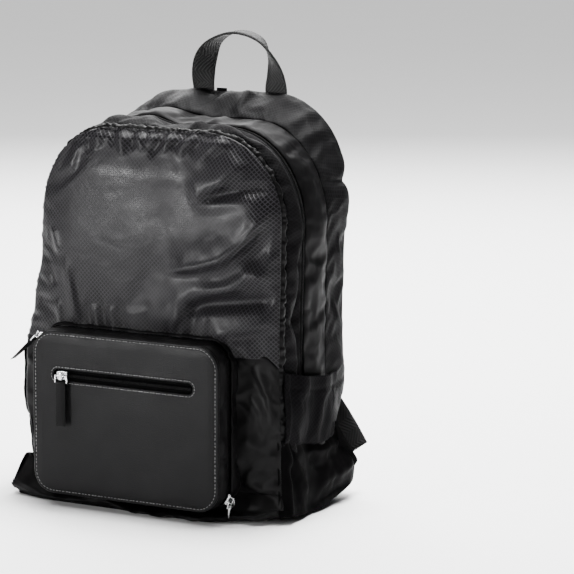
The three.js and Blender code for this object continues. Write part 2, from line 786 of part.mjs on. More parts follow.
// The rear strip is cut to the panels' faces
const cutDepth = 30;
const panelCut = solid(upperPanel(panelSplitHeight, seamGap, cutDepth))
  .add(solid(lowerPanel(panelSplitHeight, seamGap, cutDepth)));
const baseCut = solid(basePanel()).translate([0, -seamGap, seamGap]);
const rearStrip = solid(pouchStrip(pouchRearStart, pouchDepth, 0, 1)).subtract(panelCut).subtract(baseCut);
add('pouch_rear_strip', geometryOf(rearStrip), material('smooth', 0.55));

// Zip behind the slot: flat tape, with the coil standing up along its middle as far as the slot goes.
// at: place from the middle. coil: share of the coil's height.
function tapeStops(reach, edge, slope) {
  return [
    { at: -reach, coil: 0 },
    { at: -edge, coil: 0 },
    { at: slope - edge, coil: 1 },
    { at: edge - slope, coil: 1 },
    { at: edge, coil: 0 },
    { at: reach, coil: 0 },
  ];
}
const tapeAcross = tapeStops(slotHeight / 2 + tapeMargin, coilWidth / 2, coilSlope);
const tapeAlong = tapeStops(slotLength / 2 + tapeMargin, slotLength / 2 - slotCorner, coilSlope);

function pocketZip() {
  const point = (u, v) => {
    const along = tapeAlong[Math.round(u * (tapeAlong.length - 1))];
    const across = tapeAcross[Math.round(v * (tapeAcross.length - 1))];
    const coil = coilHeight * along.coil * across.coil;
    const y = pouchFace - leatherPillow + leatherWall + seamGap - coil;
    return new THREE.Vector3(slotX + along.at, y, slotZ + across.at);
  };
  return sheet(point, () => new THREE.Vector3(0, tapeWall, 0), tapeAlong.length - 1, tapeAcross.length - 1);
}
add('pocket_zip', pocketZip(), material('tape', 0.7));

// Slider body with the bridge that the ring hangs on. It lies on the plane y = 0, stands out towards -Y,
// and its ring turns about the X axis, ringStand out of the body's face.
function sliderBody(width, height) {
  const outline = new THREE.Shape();
  outline.moveTo(-width / 2 + sliderBevel, -height / 2);
  outline.lineTo(width / 2 - sliderBevel, -height / 2);
  outline.lineTo(width / 2, -height / 2 + sliderBevel);
  outline.lineTo(width / 2, height / 2 - sliderBevel);
  outline.lineTo(width / 2 - sliderBevel, height / 2);
  outline.lineTo(-width / 2 + sliderBevel, height / 2);
  outline.lineTo(-width / 2, height / 2 - sliderBevel);
  outline.lineTo(-width / 2, -height / 2 + sliderBevel);
  const body = new THREE.ExtrudeGeometry(outline, { depth: sliderHeight, bevelEnabled: false });
  body.rotateX(Math.PI / 2);
  const outer = bridgeLength / 2;
  const inner = outer - bridgeBar;
  const side = new THREE.Shape();
  side.moveTo(-outer, sliderHeight - bridgeSunk);
  side.lineTo(-outer, sliderHeight + bridgeRise + bridgeBar);
  side.lineTo(outer, sliderHeight + bridgeRise + bridgeBar);
  side.lineTo(outer, sliderHeight - bridgeSunk);
  side.lineTo(inner, sliderHeight - bridgeSunk);
  side.lineTo(inner, sliderHeight + bridgeRise);
  side.lineTo(-inner, sliderHeight + bridgeRise);
  side.lineTo(-inner, sliderHeight - bridgeSunk);
  const bridge = new THREE.ExtrudeGeometry(side, { depth: bridgeWidth, bevelEnabled: false });
  bridge.translate(0, 0, -bridgeWidth / 2);
  bridge.applyMatrix4(new THREE.Matrix4().makeBasis(
    new THREE.Vector3(0, 0, 1),
    new THREE.Vector3(0, -1, 0),
    new THREE.Vector3(1, 0, 0),
  ));
  return geometryOf(solid(body).add(solid(bridge)));
}

// Flat ring that hangs from its top bar, whose middle is the origin
function pullRing(width, height) {
  const bar = ringBar / 2;
  const outline = new THREE.Shape();
  outline.moveTo(-width / 2, bar);
  outline.lineTo(-width / 2, bar - height);
  outline.lineTo(width / 2, bar - height);
  outline.lineTo(width / 2, bar);
  const hole = new THREE.Path();
  hole.moveTo(-width / 2 + ringBar, -bar);
  hole.lineTo(width / 2 - ringBar, -bar);
  hole.lineTo(width / 2 - ringBar, 3 * bar - height);
  hole.lineTo(-width / 2 + ringBar, 3 * bar - height);
  outline.holes.push(hole);
  const ring = new THREE.ExtrudeGeometry(outline, { depth: ringBar, bevelEnabled: false });
  return ring.translate(0, 0, -bar).rotateX(Math.PI / 2);
}

// Turns a side outline drawn in X and Y, and run along X, so that its own Y is up
const upright = new THREE.Matrix4().makeBasis(
  new THREE.Vector3(1, 0, 0),
  new THREE.Vector3(0, 0, 1),
  new THREE.Vector3(0, -1, 0),
);

// Leather pull, folded round the ring's lower bar, as wide as it is given
function leatherPull(width, length) {
  const hole = Math.hypot(ringBar, ringBar) / 2 + eyeClearance;
  const eye = hole + eyeWall;
  const shoulder = Math.asin(pullWall / 2 / eye);
  const side = new THREE.Shape();
  side.moveTo(pullWall / 2, -length + eye);
  side.absarc(0, 0, eye, -Math.PI / 2 + shoulder, Math.PI * 1.5 - shoulder, false);
  side.lineTo(-pullWall / 2, -length + eye);
  const eyeHole = new THREE.Path();
  eyeHole.absarc(0, 0, hole, 0, Math.PI * 2, true);
  side.holes.push(eyeHole);
  const pull = new THREE.ExtrudeGeometry(side, { depth: width, bevelEnabled: false, curveSegments: 5 });
  pull.translate(0, 0, -width / 2);
  return pull.rotateY(Math.PI / 2).applyMatrix4(upright);
}

// A slider where it sits, with its ring and its pull on the hinge
function zipPull(names, place, frame, width, height, angle, makePull) {
  const slider = new THREE.Group();
  slider.applyMatrix4(frame.setPosition(place));
  group.add(slider);
  add(names.slider, sliderBody(width, height), material('steel', 0.25, 1), slider);
  const hinge = new THREE.Group();
  hinge.position.set(0, -sliderHeight - ringStand, 0);
  hinge.rotation.x = -THREE.MathUtils.degToRad(angle);
  slider.add(hinge);
  add(names.ring, pullRing(ringWidth, ringHeight), material('steel', 0.25, 1), hinge);
  const pull = makePull();
  pull.translate(0, 0, ringBar - ringHeight);
  add(names.pull, pull, material('leather', 0.5), hinge);
}

const flatFrame = new THREE.Matrix4();
const sliderStart = slotX - slotLength / 2 + slotHeight / 2 + sliderLength / 2;
const sliderFace = pouchFace - leatherPillow + leatherWall - coilHeight;
zipPull(
  { slider: 'pocket_slider', ring: 'pocket_pull_ring', pull: 'pocket_pull' },
  new THREE.Vector3(sliderStart, sliderFace, slotZ),
  flatFrame,
  sliderLength,
  sliderWidth,
  0,
  () => leatherPull(pullWidth, pullLength),
);

// Place on the pouch's own zip, by the angle round one of its corners
function onPouchZip(side, up, angle) {
  const turn = THREE.MathUtils.degToRad(angle);
  const share = (pouchZipStart + pouchZipWidth / 2 + sliderWidth / 2) / (pouchDepth - leatherWall);
  const outward = new THREE.Vector3(side * Math.cos(turn), 0, Math.sin(turn));
  const flare = pouchFlare + (pouchFlareBelow - pouchFlare) * Math.max(-outward.z, 0);
  const radius = pouchCorner + flare * share - leatherWall / 2 + seamGap;
  const centreX = pouchOffset + side * (pouchWidth / 2 - pouchCorner);
  const centreZ = pouchCentreZ + up * (pouchHeight / 2 - pouchCorner);
  const y = pouchFace + leatherWall + seamGap + pouchZipStart + pouchZipWidth / 2;
  const place = new THREE.Vector3(centreX, y, centreZ).addScaledVector(outward, radius);
  const upZip = new THREE.Vector3(-side * Math.sin(turn), 0, Math.cos(turn));
  const inwards = outward.clone().negate();
  const frame = new THREE.Matrix4().makeBasis(inwards.clone().cross(upZip), inwards, upZip);
  return { place, frame };
}

const sideSlider = onPouchZip(-1, 1, sideSliderAngle);
zipPull(
  { slider: 'pouch_side_slider', ring: 'pouch_side_ring', pull: 'pouch_side_pull' },
  sideSlider.place,
  sideSlider.frame,
  sliderWidth,
  sliderLength,
  sidePullAngle - sideSliderAngle,
  () => leatherPull(pullWidth, sidePullLength),
);

const endSlider = onPouchZip(1, -1, endSliderAngle);
zipPull(
  { slider: 'pouch_end_slider', ring: 'pouch_end_ring', pull: 'pouch_end_pull' },
  endSlider.place,
  endSlider.frame,
  sliderWidth,
  sliderLength,
  endPullAngle,
  () => leatherPull(endPullWidth, endPullLength),
);

// Outer face of the side wall at a place, folds included
function wallX(side, y, z) {
  const depthShare = (y - frontY) / bagDepth;
  const { top, down } = arch(depthShare);
  const way = (sideShare * (z - rimHeight)) / (top - down - rimHeight);
  const u = side < 0 ? way : 1 - way;
  const bands = [
    { from: gussetStart, to: zipStart, lift: bulge },
    { from: flapStart, to: rearStart, lift: (a, b) => bulge(a, b) * flapShare },
    { from: rearStart, to: backY, lift: bulge },
  ];
  const here = bands.find((item) => y >= item.from && y <= item.to);
  const lift = here ? Math.max(here.lift(u, (y - here.from) / (here.to - here.from)), 0) : 0;
  return Math.abs(archPoint(depthShare, u).x) + Math.max(lift, y < gussetStart ? ruffleHeight : 0);
}

// Side pockets, open along the top, with a folded hem
const pocketSteps = 8;
const hemStart = 1 - pocketHem / (pocketTop - pocketBottom);
const pocketRows = [0, 0.3, 0.6, hemStart - 0.04, hemStart, 1];
const firstHemRow = 4;

function sidePocket(side) {
  const place = (u, v) => {
    const row = Math.round(v * (pocketRows.length - 1));
    const share = pocketRows[row];
    const y = frontY + pocketStart + pocketReach * u;
    const top = pocketTop - pocketDrop * u;
    const z = pocketBottom - pocketDrop * u + (top - pocketBottom + pocketDrop * u) * share;
    const puff = pocketPuff * Math.sin(Math.PI * u) ** 0.7 * Math.sin((Math.PI / 2) * Math.min(share * 1.3, 1));
    return { y, z, puff, hem: row >= firstHemRow };
  };
  const point = (u, v) => {
    const { y, z, puff, hem } = place(u, v);
    const wall = hem ? hemWall : clothWall;
    return new THREE.Vector3(side * (wallX(side, y, z) + pocketClear + wall + puff), y, z);
  };
  const inward = (u, v) => new THREE.Vector3(-side * (place(u, v).hem ? hemWall : clothWall), 0, 0);
  return sheet(point, inward, pocketSteps, pocketRows.length - 1);
}
[['left', -1], ['right', 1]].forEach(([name, side]) => {
  add(`side_pocket_${name}`, sidePocket(side), material('ripstop', 0.5));
});

// Webbing or padding along a path: every station has its middle, the way its width runs and its section
function ribbon(stations, section) {
  const loops = stations.map(({ at, across, width, wall }, i) => {
    const before = stations[Math.max(i - 1, 0)].at;
    const after = stations[Math.min(i + 1, stations.length - 1)].at;
    const along = after.clone().sub(before).normalize();
    const wide = across.clone().addScaledVector(along, -across.dot(along)).normalize();
    const thick = along.clone().cross(wide);
    return section.map(([a, b]) => at.clone()
      .addScaledVector(wide, (a * width) / 2)
      .addScaledVector(thick, (b * wall) / 2));
  });
  return loft(loops);
}
const flatSection = [[-1, -1], [1, -1], [1, 1], [-1, 1]];
const padSection = [[-1, -0.3], [-0.86, -1], [0.86, -1], [1, -0.3], [1, 0.3], [0.86, 1], [-0.86, 1], [-1, 0.3]];

// Carry handle. x: share of the span. z: share of the rise. turn: how far the webbing has twisted, in degrees.
const handleRows = [
  { x: -0.5, z: 0.04, turn: 0 },
  { x: -0.5, z: 0.22, turn: 12 },
  { x: -0.46, z: 0.52, turn: 38 },
  { x: -0.34, z: 0.82, turn: 72 },
  { x: -0.14, z: 0.98, turn: 90 },
  { x: 0.08, z: 1, turn: 92 },
  { x: 0.3, z: 0.88, turn: 104 },
  { x: 0.44, z: 0.6, turn: 130 },
  { x: 0.5, z: 0.3, turn: 160 },
  { x: 0.5, z: 0.04, turn: 180 },
];
const handleSteps = 26;

function carryHandle() {
  const clear = seamGap * 2 + handleWall / 2;
  const stations = handleRows.map(({ x, z, turn }) => {
    const angle = THREE.MathUtils.degToRad(turn);
    const y = backY + clear - handleLean * THREE.MathUtils.smoothstep(z, 0, 0.5);
    return {
      at: new THREE.Vector3(handleOffset + x * handleSpan, y, bagHeight + z * handleRise),
      across: new THREE.Vector3(Math.cos(angle), Math.sin(angle), 0),
      width: handleWidth,
      wall: handleWall,
    };
  });
  [-0.5, 0.5].forEach((x) => {
    const tails = [0, 0.4, 0.8].map((share) => {
      const z = bagHeight - handleTail * (1 - share);
      const placeX = handleOffset + x * handleSpan;
      const at = new THREE.Vector3(placeX, backFace(placeX, z) + clear, z);
      return { at, across: new THREE.Vector3(x < 0 ? 1 : -1, 0, 0), width: handleWidth, wall: handleWall };
    });
    if (x < 0) stations.unshift(...tails);
    else stations.push(...tails.reverse());
  });
  return ribbon(smoothStations(stations, handleSteps), flatSection);
}

// More stations on one smooth curve through the given ones
function smoothStations(stations, count) {
  const curve = new THREE.CatmullRomCurve3(stations.map(({ at }) => at), false, 'centripetal');
  const ways = new THREE.CatmullRomCurve3(stations.map(({ across }) => across), false, 'centripetal');
  return Array.from({ length: count + 1 }, (_, i) => {
    const share = i / count;
    const near = stations[Math.min(Math.round(share * (stations.length - 1)), stations.length - 1)];
    return { at: curve.getPoint(share), across: ways.getPoint(share), width: near.width, wall: near.wall };
  });
}
add('carry_handle', carryHandle(), material('webbing', 0.8));

// Small flat tab in the seam beside the handle
const tabY = backY - clothWall / 2;
const tabZ = bagHeight + seamGap + tabHeight / 2;
add('seam_tab', box(tabOffset, tabY, tabZ, tabWidth, tabWall, tabHeight), material('tape', 0.6));

const strapSteps = 14;
const webbingSteps = 7;

// Shoulder straps. at: share of the way down. out: share of the stand-off. drift: share of the drift.
// width, pad: shares of the strap's width and padding.
const strapRows = [
  { at: 0, out: 0, drift: 0, width: 0.86, pad: 0.5 },
  { at: 0.07, out: 0.02, drift: 0.02, width: 0.92, pad: 0.8 },
  { at: 0.2, out: 0.4, drift: 0.1, width: 1, pad: 1 },
  { at: 0.4, out: 0.9, drift: 0.3, width: 1, pad: 1 },
  { at: 0.6, out: 1, drift: 0.55, width: 0.94, pad: 1 },
  { at: 0.8, out: 0.85, drift: 0.8, width: 0.8, pad: 0.95 },
  { at: 1, out: 0.55, drift: 1, width: 0.6, pad: 0.7 },
];

function strapStation({ at, out, drift, width, pad }, side) {
  const x = side * (strapSpread + strapDrift * drift);
  const z = strapTop + (strapBottom - strapTop) * at;
  const wall = strapPad * pad;
  const y = backFace(x, z) + seamGap * 2 + wall / 2 + strapStandOff * out;
  const across = new THREE.Vector3(side, 0, 0);
  return { at: new THREE.Vector3(x, y, z), across, width: strapWidth * width, wall };
}

// Corner wing between the side wall and the back, drawn out to a blunt tip
function wing(side) {
  const stand = wingWall + (side < 0 ? wingClearLeft : wingClearRight);
  const tip = new THREE.Vector3(side * (bagWidth / 2 + wingReach), backY, wingTip);
  const point = (u, v) => {
    const y = backY - wingRun * (1 - wingTaper * u);
    const z = wingTop + (wingFoot - wingTop) * u;
    const x = side * (Math.max(wallX(side, y, Math.max(z, rimHeight)), bagWidth / 2) + stand);
    const share = v * wingBlunt;
    const place = new THREE.Vector3(x, y, z).lerp(tip, share);
    place.x += side * wingSwell * Math.sin(Math.PI * share) * Math.sin(Math.PI * u);
    return place;
  };
  return sheet(point, () => new THREE.Vector3(-side * wingWall, 0, 0), 5, 4);
}

// The strap, its adjuster and the webbing run on from each other
function strapWebbing(side, start, way) {
  const end = new THREE.Vector3(side * (bagWidth / 2 + webbingEndOut), backY + 3 * webbingWall, webbingEnd);
  const lead = start.clone().addScaledVector(way, webbingLead);
  const rest = [0.35, 0.7, 1].map((share) => {
    const at = lead.clone().lerp(end, share);
    at.y += webbingSag * Math.sin(Math.PI * share);
    return at;
  });
  const across = new THREE.Vector3(side, 0, 0);
  const station = (at) => ({ at, across, width: webbingWidth, wall: webbingWall });
  return [station(start), ...smoothStations([lead, ...rest].map(station), webbingSteps)];
}

[['left', -1], ['right', 1]].forEach(([name, side]) => {
  const strap = smoothStations(strapRows.map((row) => strapStation(row, side)), strapSteps);
  add(`shoulder_strap_${name}`, ribbon(strap, padSection), material('smooth', 0.6));
  const foot = strap[strapSteps].at;
  const way = foot.clone().sub(strap[strapSteps - 1].at).normalize();
  const adjuster = [seamGap, seamGap + adjusterHeight].map((run) => ({
    at: foot.clone().addScaledVector(way, run),
    across: new THREE.Vector3(side, 0, 0),
    width: adjusterWidth,
    wall: adjusterWall,
  }));
  add(`strap_adjuster_${name}`, ribbon(adjuster, flatSection), material('plastic', 0.5));
  const start = foot.clone().addScaledVector(way, 2 * seamGap + adjusterHeight);
  add(`strap_webbing_${name}`, ribbon(strapWebbing(side, start, way), flatSection), material('webbing', 0.8));
  add(`corner_wing_${name}`, wing(side), material('smooth', 0.55));
});

export default group;
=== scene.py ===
"""Dresses the packable backpack: cloth panels, leather pouch, zips, webbing, handle and straps.

Sizes are millimetres in the classes, and become metres where a mesh is written.
"""
import logging
import math
from bisect import bisect_left
from dataclasses import dataclass, field
from enum import Enum
from functools import cached_property
from typing import Callable, Iterator, NamedTuple, Optional, Sequence

import bmesh
import bpy
from mathutils import Matrix, Vector, noise


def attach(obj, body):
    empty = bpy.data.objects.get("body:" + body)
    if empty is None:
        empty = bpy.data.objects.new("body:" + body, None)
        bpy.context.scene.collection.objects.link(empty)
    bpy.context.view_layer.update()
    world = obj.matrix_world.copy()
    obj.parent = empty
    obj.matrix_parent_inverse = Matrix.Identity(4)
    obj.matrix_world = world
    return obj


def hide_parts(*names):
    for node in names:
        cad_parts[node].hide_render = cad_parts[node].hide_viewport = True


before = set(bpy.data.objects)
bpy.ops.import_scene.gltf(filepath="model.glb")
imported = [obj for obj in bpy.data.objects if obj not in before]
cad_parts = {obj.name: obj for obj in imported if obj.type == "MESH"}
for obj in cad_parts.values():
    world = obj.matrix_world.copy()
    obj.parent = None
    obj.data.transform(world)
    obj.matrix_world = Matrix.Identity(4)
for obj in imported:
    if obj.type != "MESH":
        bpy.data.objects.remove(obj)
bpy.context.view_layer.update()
log = logging.getLogger("backpack")
MM = 0.001
BODY_ROUND = 1085.0
POUCH_ROUND = 720.0
CREASE_FADE = 0.22
CREASE_REACH = 3.5
CLOTH_WALL = 0.8
Place = Callable[[float, float], Vector]
Pins = Callable[[float, float], bool]
Socket = bpy.types.NodeSocket
Net = bmesh.types.BMesh
Thing = bpy.types.Object
Colour = tuple[float, float, float, float]
Point = tuple[float, float, float]
Pair = tuple[float, float]
Bar = tuple[Vector, Vector, Vector]


def eased_share(value: float, low: float, high: float) -> float:
    """Share of the way from low to high, eased at both ends and held between 0 and 1."""
    share = min(max((value - low) / (high - low), 0.0), 1.0)
    return share * share * (3 - 2 * share)


def between(rows: Sequence, place: float, column: str, ease: bool = False) -> float:
    """Reads a column of a table at a place between its rows.

    Args:
        rows: The table, each row with an at.
        place: Where to read it.
        column: The field to read.
        ease: True to pass through the rows without kinks.

    Returns:
        The value there.
    """
    if place <= rows[0].at:
        return getattr(rows[0], column)
    if place >= rows[-1].at:
        return getattr(rows[-1], column)
    later = next(i for i, row in enumerate(rows) if row.at >= place)
    a, b = rows[later - 1], rows[later]
    share = (place - a.at) / (b.at - a.at)
    if ease:
        share = eased_share(share, 0, 1)
    return getattr(a, column) + (getattr(b, column) - getattr(a, column)) * share


def table(kind: type, *rows: tuple) -> tuple:
    """Rows of one kind, from their plain values."""
    return tuple(kind(*row) for row in rows)


def hump(place: float, middle: float, breadth: float) -> float:
    """Height of a round hump, 1 at its middle."""
    return math.exp(-(((place - middle) / breadth) ** 2))


def arc(share: float) -> float:
    """Rises from 0 to 1 and falls again over a share from 0 to 1."""
    return math.sin(math.pi * share)


def wander(x: float, y: float, seed: float) -> float:
    """Smooth noise from about -1 to 1, the same at every run."""
    return noise.noise(Vector((x, y, seed)))


def sewn(sides: float, ends: float) -> Pins:
    """Holds a cloth within a share of its two sides, and of its foot and its top."""
    return lambda u, v: min(u, 1 - u) < sides or min(v, 1 - v) < ends


def bent(a: Vector, b: Vector, leave: Vector, arrive: Vector, share: float) -> Vector:
    """Point on a cubic from a to b, for the ways that it leaves a and arrives at b."""
    cube = a * 2 - b * 2 + leave + arrive
    square = b * 3 - a * 3 - leave * 2 - arrive
    return (cube * share + square) * share * share + leave * share + a


def square_to(along: Vector, across: Vector) -> tuple[Vector, Vector]:
    """Ways across a strap and out of it, square to the way along it."""
    wide = (across - along * across.dot(along)).normalized()
    return wide, along.cross(wide)


def set_down(x_way: Vector, y_way: Vector, z_way: Vector, at: Vector) -> Matrix:
    """Turns a thing's three ways to the given ones, and moves it to a place."""
    turn = Matrix((x_way, y_way, z_way)).transposed().to_4x4()
    turn.translation = at
    return turn


def webbing_section(edge: float, corner: float) -> list[Pair]:
    """Flat section of a webbing, for the height of its edges and the place of its corners."""
    flat = ((-0.5, -1), (0, -1), (0.5, -1))
    return both_faces(((-1, -edge), (-corner, -0.95), *flat, (corner, -0.95), (1, -edge)))


def both_faces(half: Sequence[Pair]) -> list[Pair]:
    """A strap's whole section from the half on its inner face."""
    return [*half, *((-across, -out) for across, out in half)]


class ArchRow(NamedTuple):
    """Outline of the body at a share of its depth, its sizes as shares of the body's."""

    at: float
    half: float
    top: float
    across: float
    down: float


class SlumpRow(NamedTuple):
    """How far each side stands out at a share of the height, as shares of the width."""

    at: float
    left: float
    right: float


class DomeRow(NamedTuple):
    """Dome of the front at a share of the height, as a share of the upper dome."""

    at: float
    dome: float


class Crease(NamedTuple):
    """A crease on the front: where it runs, its rise, and its breadth on its left and right hand."""

    run: tuple[Pair, ...]
    rise: float
    left: float
    right: float

    def height(self, x: float, z: float) -> float:
        """Height of the crease at a place."""
        best, side, along, total = 1e9, 1.0, 0.0, 0.0
        for (ax, az), (bx, bz) in zip(self.run, self.run[1:]):
            dx, dz = bx - ax, bz - az
            length = math.hypot(dx, dz)
            near = min(max(((x - ax) * dx + (z - az) * dz) / length ** 2, 0), 1)
            away = math.hypot(x - ax - dx * near, z - az - dz * near)
            if away < best:
                best, side, along = away, dx * (z - az) - dz * (x - ax), total + near * length
            total += length
        breadth = self.left if side > 0 else self.right
        if best > CREASE_REACH * breadth:
            return 0.0
        fade = eased_share(min(along, total - along) / total, 0, CREASE_FADE)
        return self.rise * fade * hump(best, 0, breadth)


class Bump(NamedTuple):
    """A round bump on a line: its middle, breadth and rise."""

    middle: float
    breadth: float
    rise: float

    def height(self, place: float) -> float:
        """Height of the bump at a place on the line."""
        return self.rise * hump(place, self.middle, self.breadth)


class BandFold(NamedTuple):
    """A fold across a side band: place round it, ends across it, rise and breadth."""

    u: float
    v0: float
    v1: float
    rise: float
    breadth: float


class BaseRow(NamedTuple):
    """Spread of the base at a share of the way round."""

    at: float
    reach: float
    lip: float


@dataclass(frozen=True)
class BagForm:
    """The body's shape, as the modelled solids have it."""

    height: float = 422.0
    width: float = 280.0
    depth: float = 151.0
    rim: float = 30.0
    back_bulge: float = 5.0
    split: float = 171.0
    split_fall: float = 34.0
    split_fall_from: float = 98.0
    split_fall_to: float = 133.0
    upper_dome: float = 17.0
    lower_dome: float = 10.0
    overhang: float = 5.0
    overhang_fall: float = 36.0
    gusset_bulge: float = 2.5
    side_share: float = 0.24
    corner_share: float = 0.13
    arch_rows: tuple[ArchRow, ...] = table(
        ArchRow,
        (0, 0.989, 0.936, 0.286, 0.21), (0.29, 1, 0.94, 0.3, 0.24), (0.635, 1.018, 0.946, 0.3, 0.25),
        (0.9, 1, 0.992, 0.3, 0.23), (1, 0.98, 1, 0.29, 0.21),
    )
    slump_rows: tuple[SlumpRow, ...] = table(
        SlumpRow,
        (0.05, 0.034, 0.004), (0.14, 0.06, 0), (0.25, 0.086, -0.002), (0.37, 0.082, -0.01),
        (0.49, 0.044, -0.008), (0.62, 0.01, -0.004), (0.8, 0, 0),
    )
    dome_rows: tuple[DomeRow, ...] = table(
        DomeRow,
        (0.071, 0.12), (0.16, 0.59), (0.4, 0.59), (0.5, 0.95), (0.66, 1), (0.82, 0.86), (0.91, 0.5),
        (0.936, 0),
    )
    gusset_start: float = -64.4
    zip_start: float = -29.1
    flap_start: float = -22.3
    rear_start: float = 24.0
    flap_share: float = 0.6
    ruffle_rise: float = 2.6
    crease_depth: float = 0.78
    creases: tuple[Crease, ...] = table(
        Crease,
        (((12, 254), (29, 257), (55, 262), (80, 270), (100, 284), (115, 302), (129, 325), (134, 338)),
         13, 26, 5),
        (((18, 256), (55, 262), (80, 270), (100, 284), (115, 302), (128, 322)), 2.4, 3, 2.5),
        (((48, 243), (76, 250), (100, 262), (118, 284), (130, 306)), -5, 9, 8),
        (((16, 184), (26, 203), (40, 222), (62, 234), (92, 243), (112, 256), (124, 270)), 9, 20, 5),
        (((26, 208), (52, 222), (95, 227), (144, 233)), -12, 9, 8),
        (((40, 327), (60, 336), (79, 347), (97, 364), (104, 372)), 8, 20, 5),
        (((50, 331), (76, 336), (100, 341), (146, 350)), -6, 5, 7),
        (((40, 322), (90, 330), (140, 338)), 3, 6, 9),
        (((110, 242), (118, 250), (126, 266), (142, 292)), 6, 7, 4),
        (((98, 262), (112, 260), (132, 250)), 4, 6, 5),
        (((60, 188), (85, 196), (111, 203), (142, 212)), 4, 9, 6),
        (((84, 188), (110, 194), (140, 200)), -3.5, 5, 5),
        (((-106, 262), (-97, 228), (-88, 185)), 3.2, 5, 8),
        (((-97, 250), (-90, 226), (-82, 186)), -2.2, 6, 5),
        (((-116, 216), (-108, 172)), 3, 4, 4),
        (((-80, 218), (-71, 172)), -2.4, 3.5, 4), (((-70, 214), (-63, 172)), 1.5, 3.5, 3.5),
        (((-61, 222), (-54, 172)), -2.5, 3.5, 4), (((-50, 216), (-44, 172)), 1.6, 3.5, 4),
        (((-41, 226), (-31, 172)), -2.4, 4, 3.5), (((-24, 214), (-18, 172)), 1.3, 5, 5),
        (((-4, 224), (-7, 172)), -1.6, 4, 4), (((27, 226), (14, 172)), -2.0, 4, 4),
        (((38, 216), (28, 172)), 1.6, 4, 4), (((51, 222), (38, 172)), -1.9, 4, 4),
        (((62, 214), (52, 172)), 1.6, 4, 4), (((-56, 408), (-49, 374)), -3, 3.5, 3.5),
        (((-47, 408), (-36, 364)), 3.4, 5, 3.5), (((-33, 408), (-26, 372)), -3.2, 3.5, 4),
        (((-24, 408), (-14, 370)), 3, 4, 3.5), (((-12, 408), (-14, 378)), -2.8, 3.5, 3.5),
        (((4, 408), (-6, 376)), 2.4, 4, 4), (((14, 408), (-6, 366)), -3.2, 4, 3.5),
        (((25, 408), (8, 370)), 3, 4, 4.5), (((40, 400), (17, 376)), -2.8, 4, 4),
        (((52, 408), (24, 368)), 3, 5, 5), (((66, 406), (38, 372)), -2.6, 5, 4),
        (((80, 392), (44, 362)), 2.8, 6, 6), (((94, 388), (58, 366)), -2.4, 5, 5),
        (((-70, 392), (-66, 372)), 2.2, 4, 4), (((-80, 386), (-78, 366)), -2.2, 4, 4),
        (((-92, 380), (-102, 346)), 2.6, 5, 6), (((-122, 290), (-113, 262)), 2.8, 5, 4),
        (((-126, 250), (-118, 226)), -2.4, 4, 4),
    )
    dents: tuple[Bump, ...] = table(Bump, (335, 9, 7), (312, 30, -2), (70, 27, 9), (150, 26, -2))
    shoulder_fill: Bump = Bump(0.41, 0.05, 9.0)
    shoulder_sink: Bump = Bump(-88.0, 34.0, 8.0)
    band_folds: tuple[BandFold, ...] = table(
        BandFold,
        (0.36, 0.1, 0.9, 1.6, 0.014), (0.48, 0.2, 1, -1.2, 0.02), (0.57, 0, 0.9, 2.2, 0.016),
        (0.66, 0.1, 0.8, -1.4, 0.016), (0.76, 0.2, 1, 1.8, 0.02), (0.84, 0.1, 0.9, -1.6, 0.018),
        (0.9, 0.1, 0.9, 1.4, 0.014), (0.12, 0.1, 0.9, 1.4, 0.02), (0.22, 0.2, 0.8, -1.2, 0.02),
    )
    base_rows: tuple[BaseRow, ...] = table(
        BaseRow,
        (0, 0.15, 0.95), (0.035, 0.17, 0.28), (0.09, 0.15, 0.28), (0.15, 0.2, 0.26), (0.21, 0.19, 0.26),
        (0.27, 0.09, 0.3), (0.3, -0.03, 0.4), (0.35, 0.0, 0.42), (0.41, 0.03, 0.4), (0.47, 0.04, 0.4),
        (0.5, -0.04, 0.4), (0.56, 0.01, 0.4), (0.74, 0.01, 0.4), (0.8, -0.04, 0.4), (0.86, 0.03, 0.4),
        (0.93, 0.08, 0.5), (0.97, 0.12, 0.8), (1, 0.15, 0.95),
    )
    base_front: float = 0.3
    base_side: float = 0.2
    lifts: tuple[Bump, ...] = table(Bump, (0.3, 0.05, 5), (0.5, 0.06, 13), (0.8, 0.06, 8))

    @property
    def front(self) -> float:
        """Y of the front seam."""
        return -self.depth / 2

    @property
    def back(self) -> float:
        """Y of the back seam."""
        return self.depth / 2

    def share_at(self, y: float) -> float:
        """Share of the depth at a Y."""
        return (y - self.front) / self.depth

    def slump(self, z: float, side: int) -> float:
        """How far a side stands out at a height."""
        column = "left" if side < 0 else "right"
        return between(self.slump_rows, z / self.height, column, True) * self.width

    def dent(self, share: float, z: float, side: int) -> float:
        """How far a side sinks in at a share of the depth and a height."""
        if side < 0:
            return 0.0
        return sum(dent.height(z) for dent in self.dents) * eased_share(share, 0.6, 1)

    def arch(self, share: float) -> tuple[float, ...]:
        """Half width, top, and the corner's size across and down, at a share of the depth."""
        half, top, across, down = (
            between(self.arch_rows, share, column) for column in ("half", "top", "across", "down")
        )
        return half * self.width / 2, top * self.height, across * self.width, down * self.height

    def half_at(self, share: float, z: float, side: int) -> float:
        """Half width of one side at a height."""
        half, top, across, down = self.arch(share)
        rise = min(max((z - (top - down)) / down, 0), 1)
        corner = across * (1 - math.sqrt(1 - rise * rise))
        return half - corner + self.slump(z, side) - self.dent(share, z, side)

